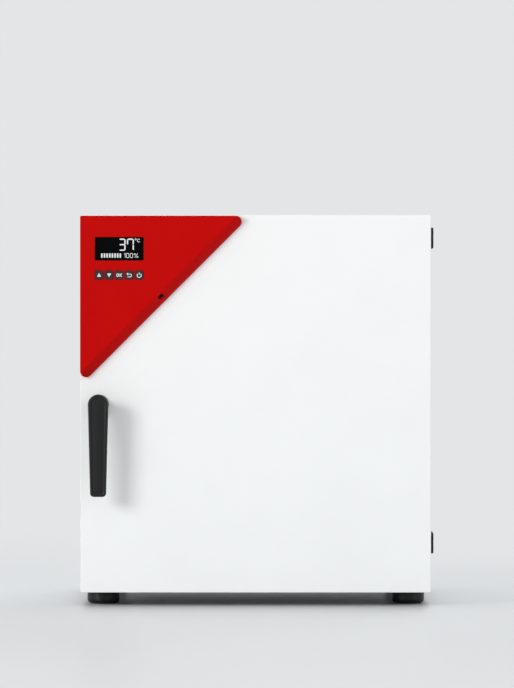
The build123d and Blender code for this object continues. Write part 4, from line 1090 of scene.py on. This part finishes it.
# %% Rear screws
rear_low, rear_high = span("rear_panel")
inlet_low, inlet_high = span("mains_inlet")
rearward = (0, 1, 0)
corner_inset = 12
edge_inset = 9
inlet_screw_radius = 2.6
inlet_inset = 5
inlet_sink = 0.1
across = np.linspace(rear_low[0] + corner_inset, rear_high[0] - corner_inset, 4)
upward = np.linspace(rear_low[2] + edge_inset, rear_high[2] - edge_inset, 4)
spots = [(x, z) for x in across for z in (upward[0], upward[-1])]
spots += [(x, z) for x in (rear_low[0] + edge_inset, rear_high[0] - edge_inset) for z in upward[1:-1]]
rear_heads = [screw_head((x, rear_high[1], z), rearward, screw_radius) for x, z in spots]
inlet_middle = (inlet_low[2] + inlet_high[2]) / 2
for x in (inlet_low[0] + inlet_inset, inlet_high[0] - inlet_inset):
    seat = (x, inlet_high[1] - inlet_sink, inlet_middle)
    rear_heads.append(screw_head(seat, rearward, inlet_screw_radius))
piece("rear_screws", together(*rear_heads), zinc_plate, "cabinet")

# %% [markdown]
# ## Floor, light and camera
# A plain pale table top, glossy enough for a faint reflection. A broad lamp from the left front
# gives the soft shadow of the handle, and weaker ones from the right, above and behind fill the
# rest. The camera is level, far away and long, as the photograph shows no perspective to speak of.
# A curved backdrop could hide the horizon, but the views from behind would see its back, so the
# table fades into the background instead. Table, lamps and camera are placed in metres.

# %% Table top
background = "#e3e5e6"
table_half = 30
fade_from = 0.9
fade_to = 3.0


def table_top():
    """A pale satin plane. Far from the object it fades into the background, seen from anywhere."""
    material, tree, shader, place = finish("table_top", {
        "Base Color": linear("#dddfe0"), "Roughness": 0.32, "Specular IOR Level": 0.25,
    })
    reach = add(tree, "ShaderNodeVectorMath", {0: place}, operation="LENGTH").outputs[1]
    fade = add(tree, "ShaderNodeMapRange", {"Value": reach, "From Min": fade_from, "From Max": fade_to})
    glow = add(tree, "ShaderNodeEmission", {"Color": linear(background), "Strength": 1.0})
    ends = {0: fade.outputs[0], 1: shader.outputs[0], 2: glow.outputs[0]}
    blend = add(tree, "ShaderNodeMixShader", ends)
    tree.links.new(blend.outputs[0], tree.nodes["Material Output"].inputs["Surface"])
    return material


floor_mesh = bpy.data.meshes.new("table")
floor_corners = lifted(rectangle(-table_half, table_half, -table_half, table_half), 0, top_view)
floor_mesh.from_pydata(floor_corners.tolist(), [], [(0, 1, 2, 3)])
floor_mesh.materials.append(table_top())
floor = placed("table", floor_mesh)
print("table", 2 * table_half, "m wide")

# %% World
world = bpy.data.worlds.new("room")
bpy.context.scene.world = world
world.use_nodes = True
room = world.node_tree
room.nodes.clear()
path = add(room, "ShaderNodeLightPath")
seen = path.outputs["Is Camera Ray"]
for ray in ("Is Glossy Ray", "Is Transmission Ray"):
    seen = add(room, "ShaderNodeMath", {0: seen, 1: path.outputs[ray]}, operation="MAXIMUM").outputs[0]
soft = add(room, "ShaderNodeBackground", {"Color": linear("#f4f6f8"), "Strength": 0.61})
pale = add(room, "ShaderNodeBackground", {"Color": linear(background), "Strength": 1.0})
either = add(room, "ShaderNodeMixShader", {0: seen, 1: soft.outputs[0], 2: pale.outputs[0]})
add(room, "ShaderNodeOutputWorld", {"Surface": either.outputs[0]})
print("world nodes", len(room.nodes))


# %% Lamps
lamp_aim = Vector((0, 0, 0.3))


def lamp(name, place, size, power, shows=True):
    """A square area lamp that looks at the object; shows says whether gloss mirrors it."""
    light = bpy.data.lights.new(name, "AREA")
    light.size = size
    light.energy = power
    thing = placed(name, light)
    thing.location = place
    thing.rotation_euler = (lamp_aim - Vector(place)).to_track_quat("-Z", "Y").to_euler()
    thing.visible_glossy = shows
    print(name, power, "W")


lamp("key_light", (-4.4, -5.0, 2.1), size=2.1, power=182)
lamp("fill_light", (4.2, -4.4, 2.4), size=2.4, power=36)
lamp("top_light", (0, 0.8, 4.0), size=2.6, power=38, shows=False)
lamp("rear_light", (1.4, 5.2, 2.6), size=2.4, power=74, shows=False)

# %% Camera
camera_distance = 8.0
camera_height = 0.419
camera_shift = -0.0005
camera_data = bpy.data.cameras.new("camera")
camera_data.lens = 262
camera_data.sensor_width = 36
camera_data.clip_end = 60
camera = placed("camera", camera_data)
camera.location = (camera_shift, door_face * mm - camera_distance, camera_height)
camera.rotation_euler = (math.pi / 2, 0, 0)
bpy.context.scene.camera = camera
bpy.context.scene.view_settings.view_transform = "Standard"
print("camera at", tuple(camera.location))
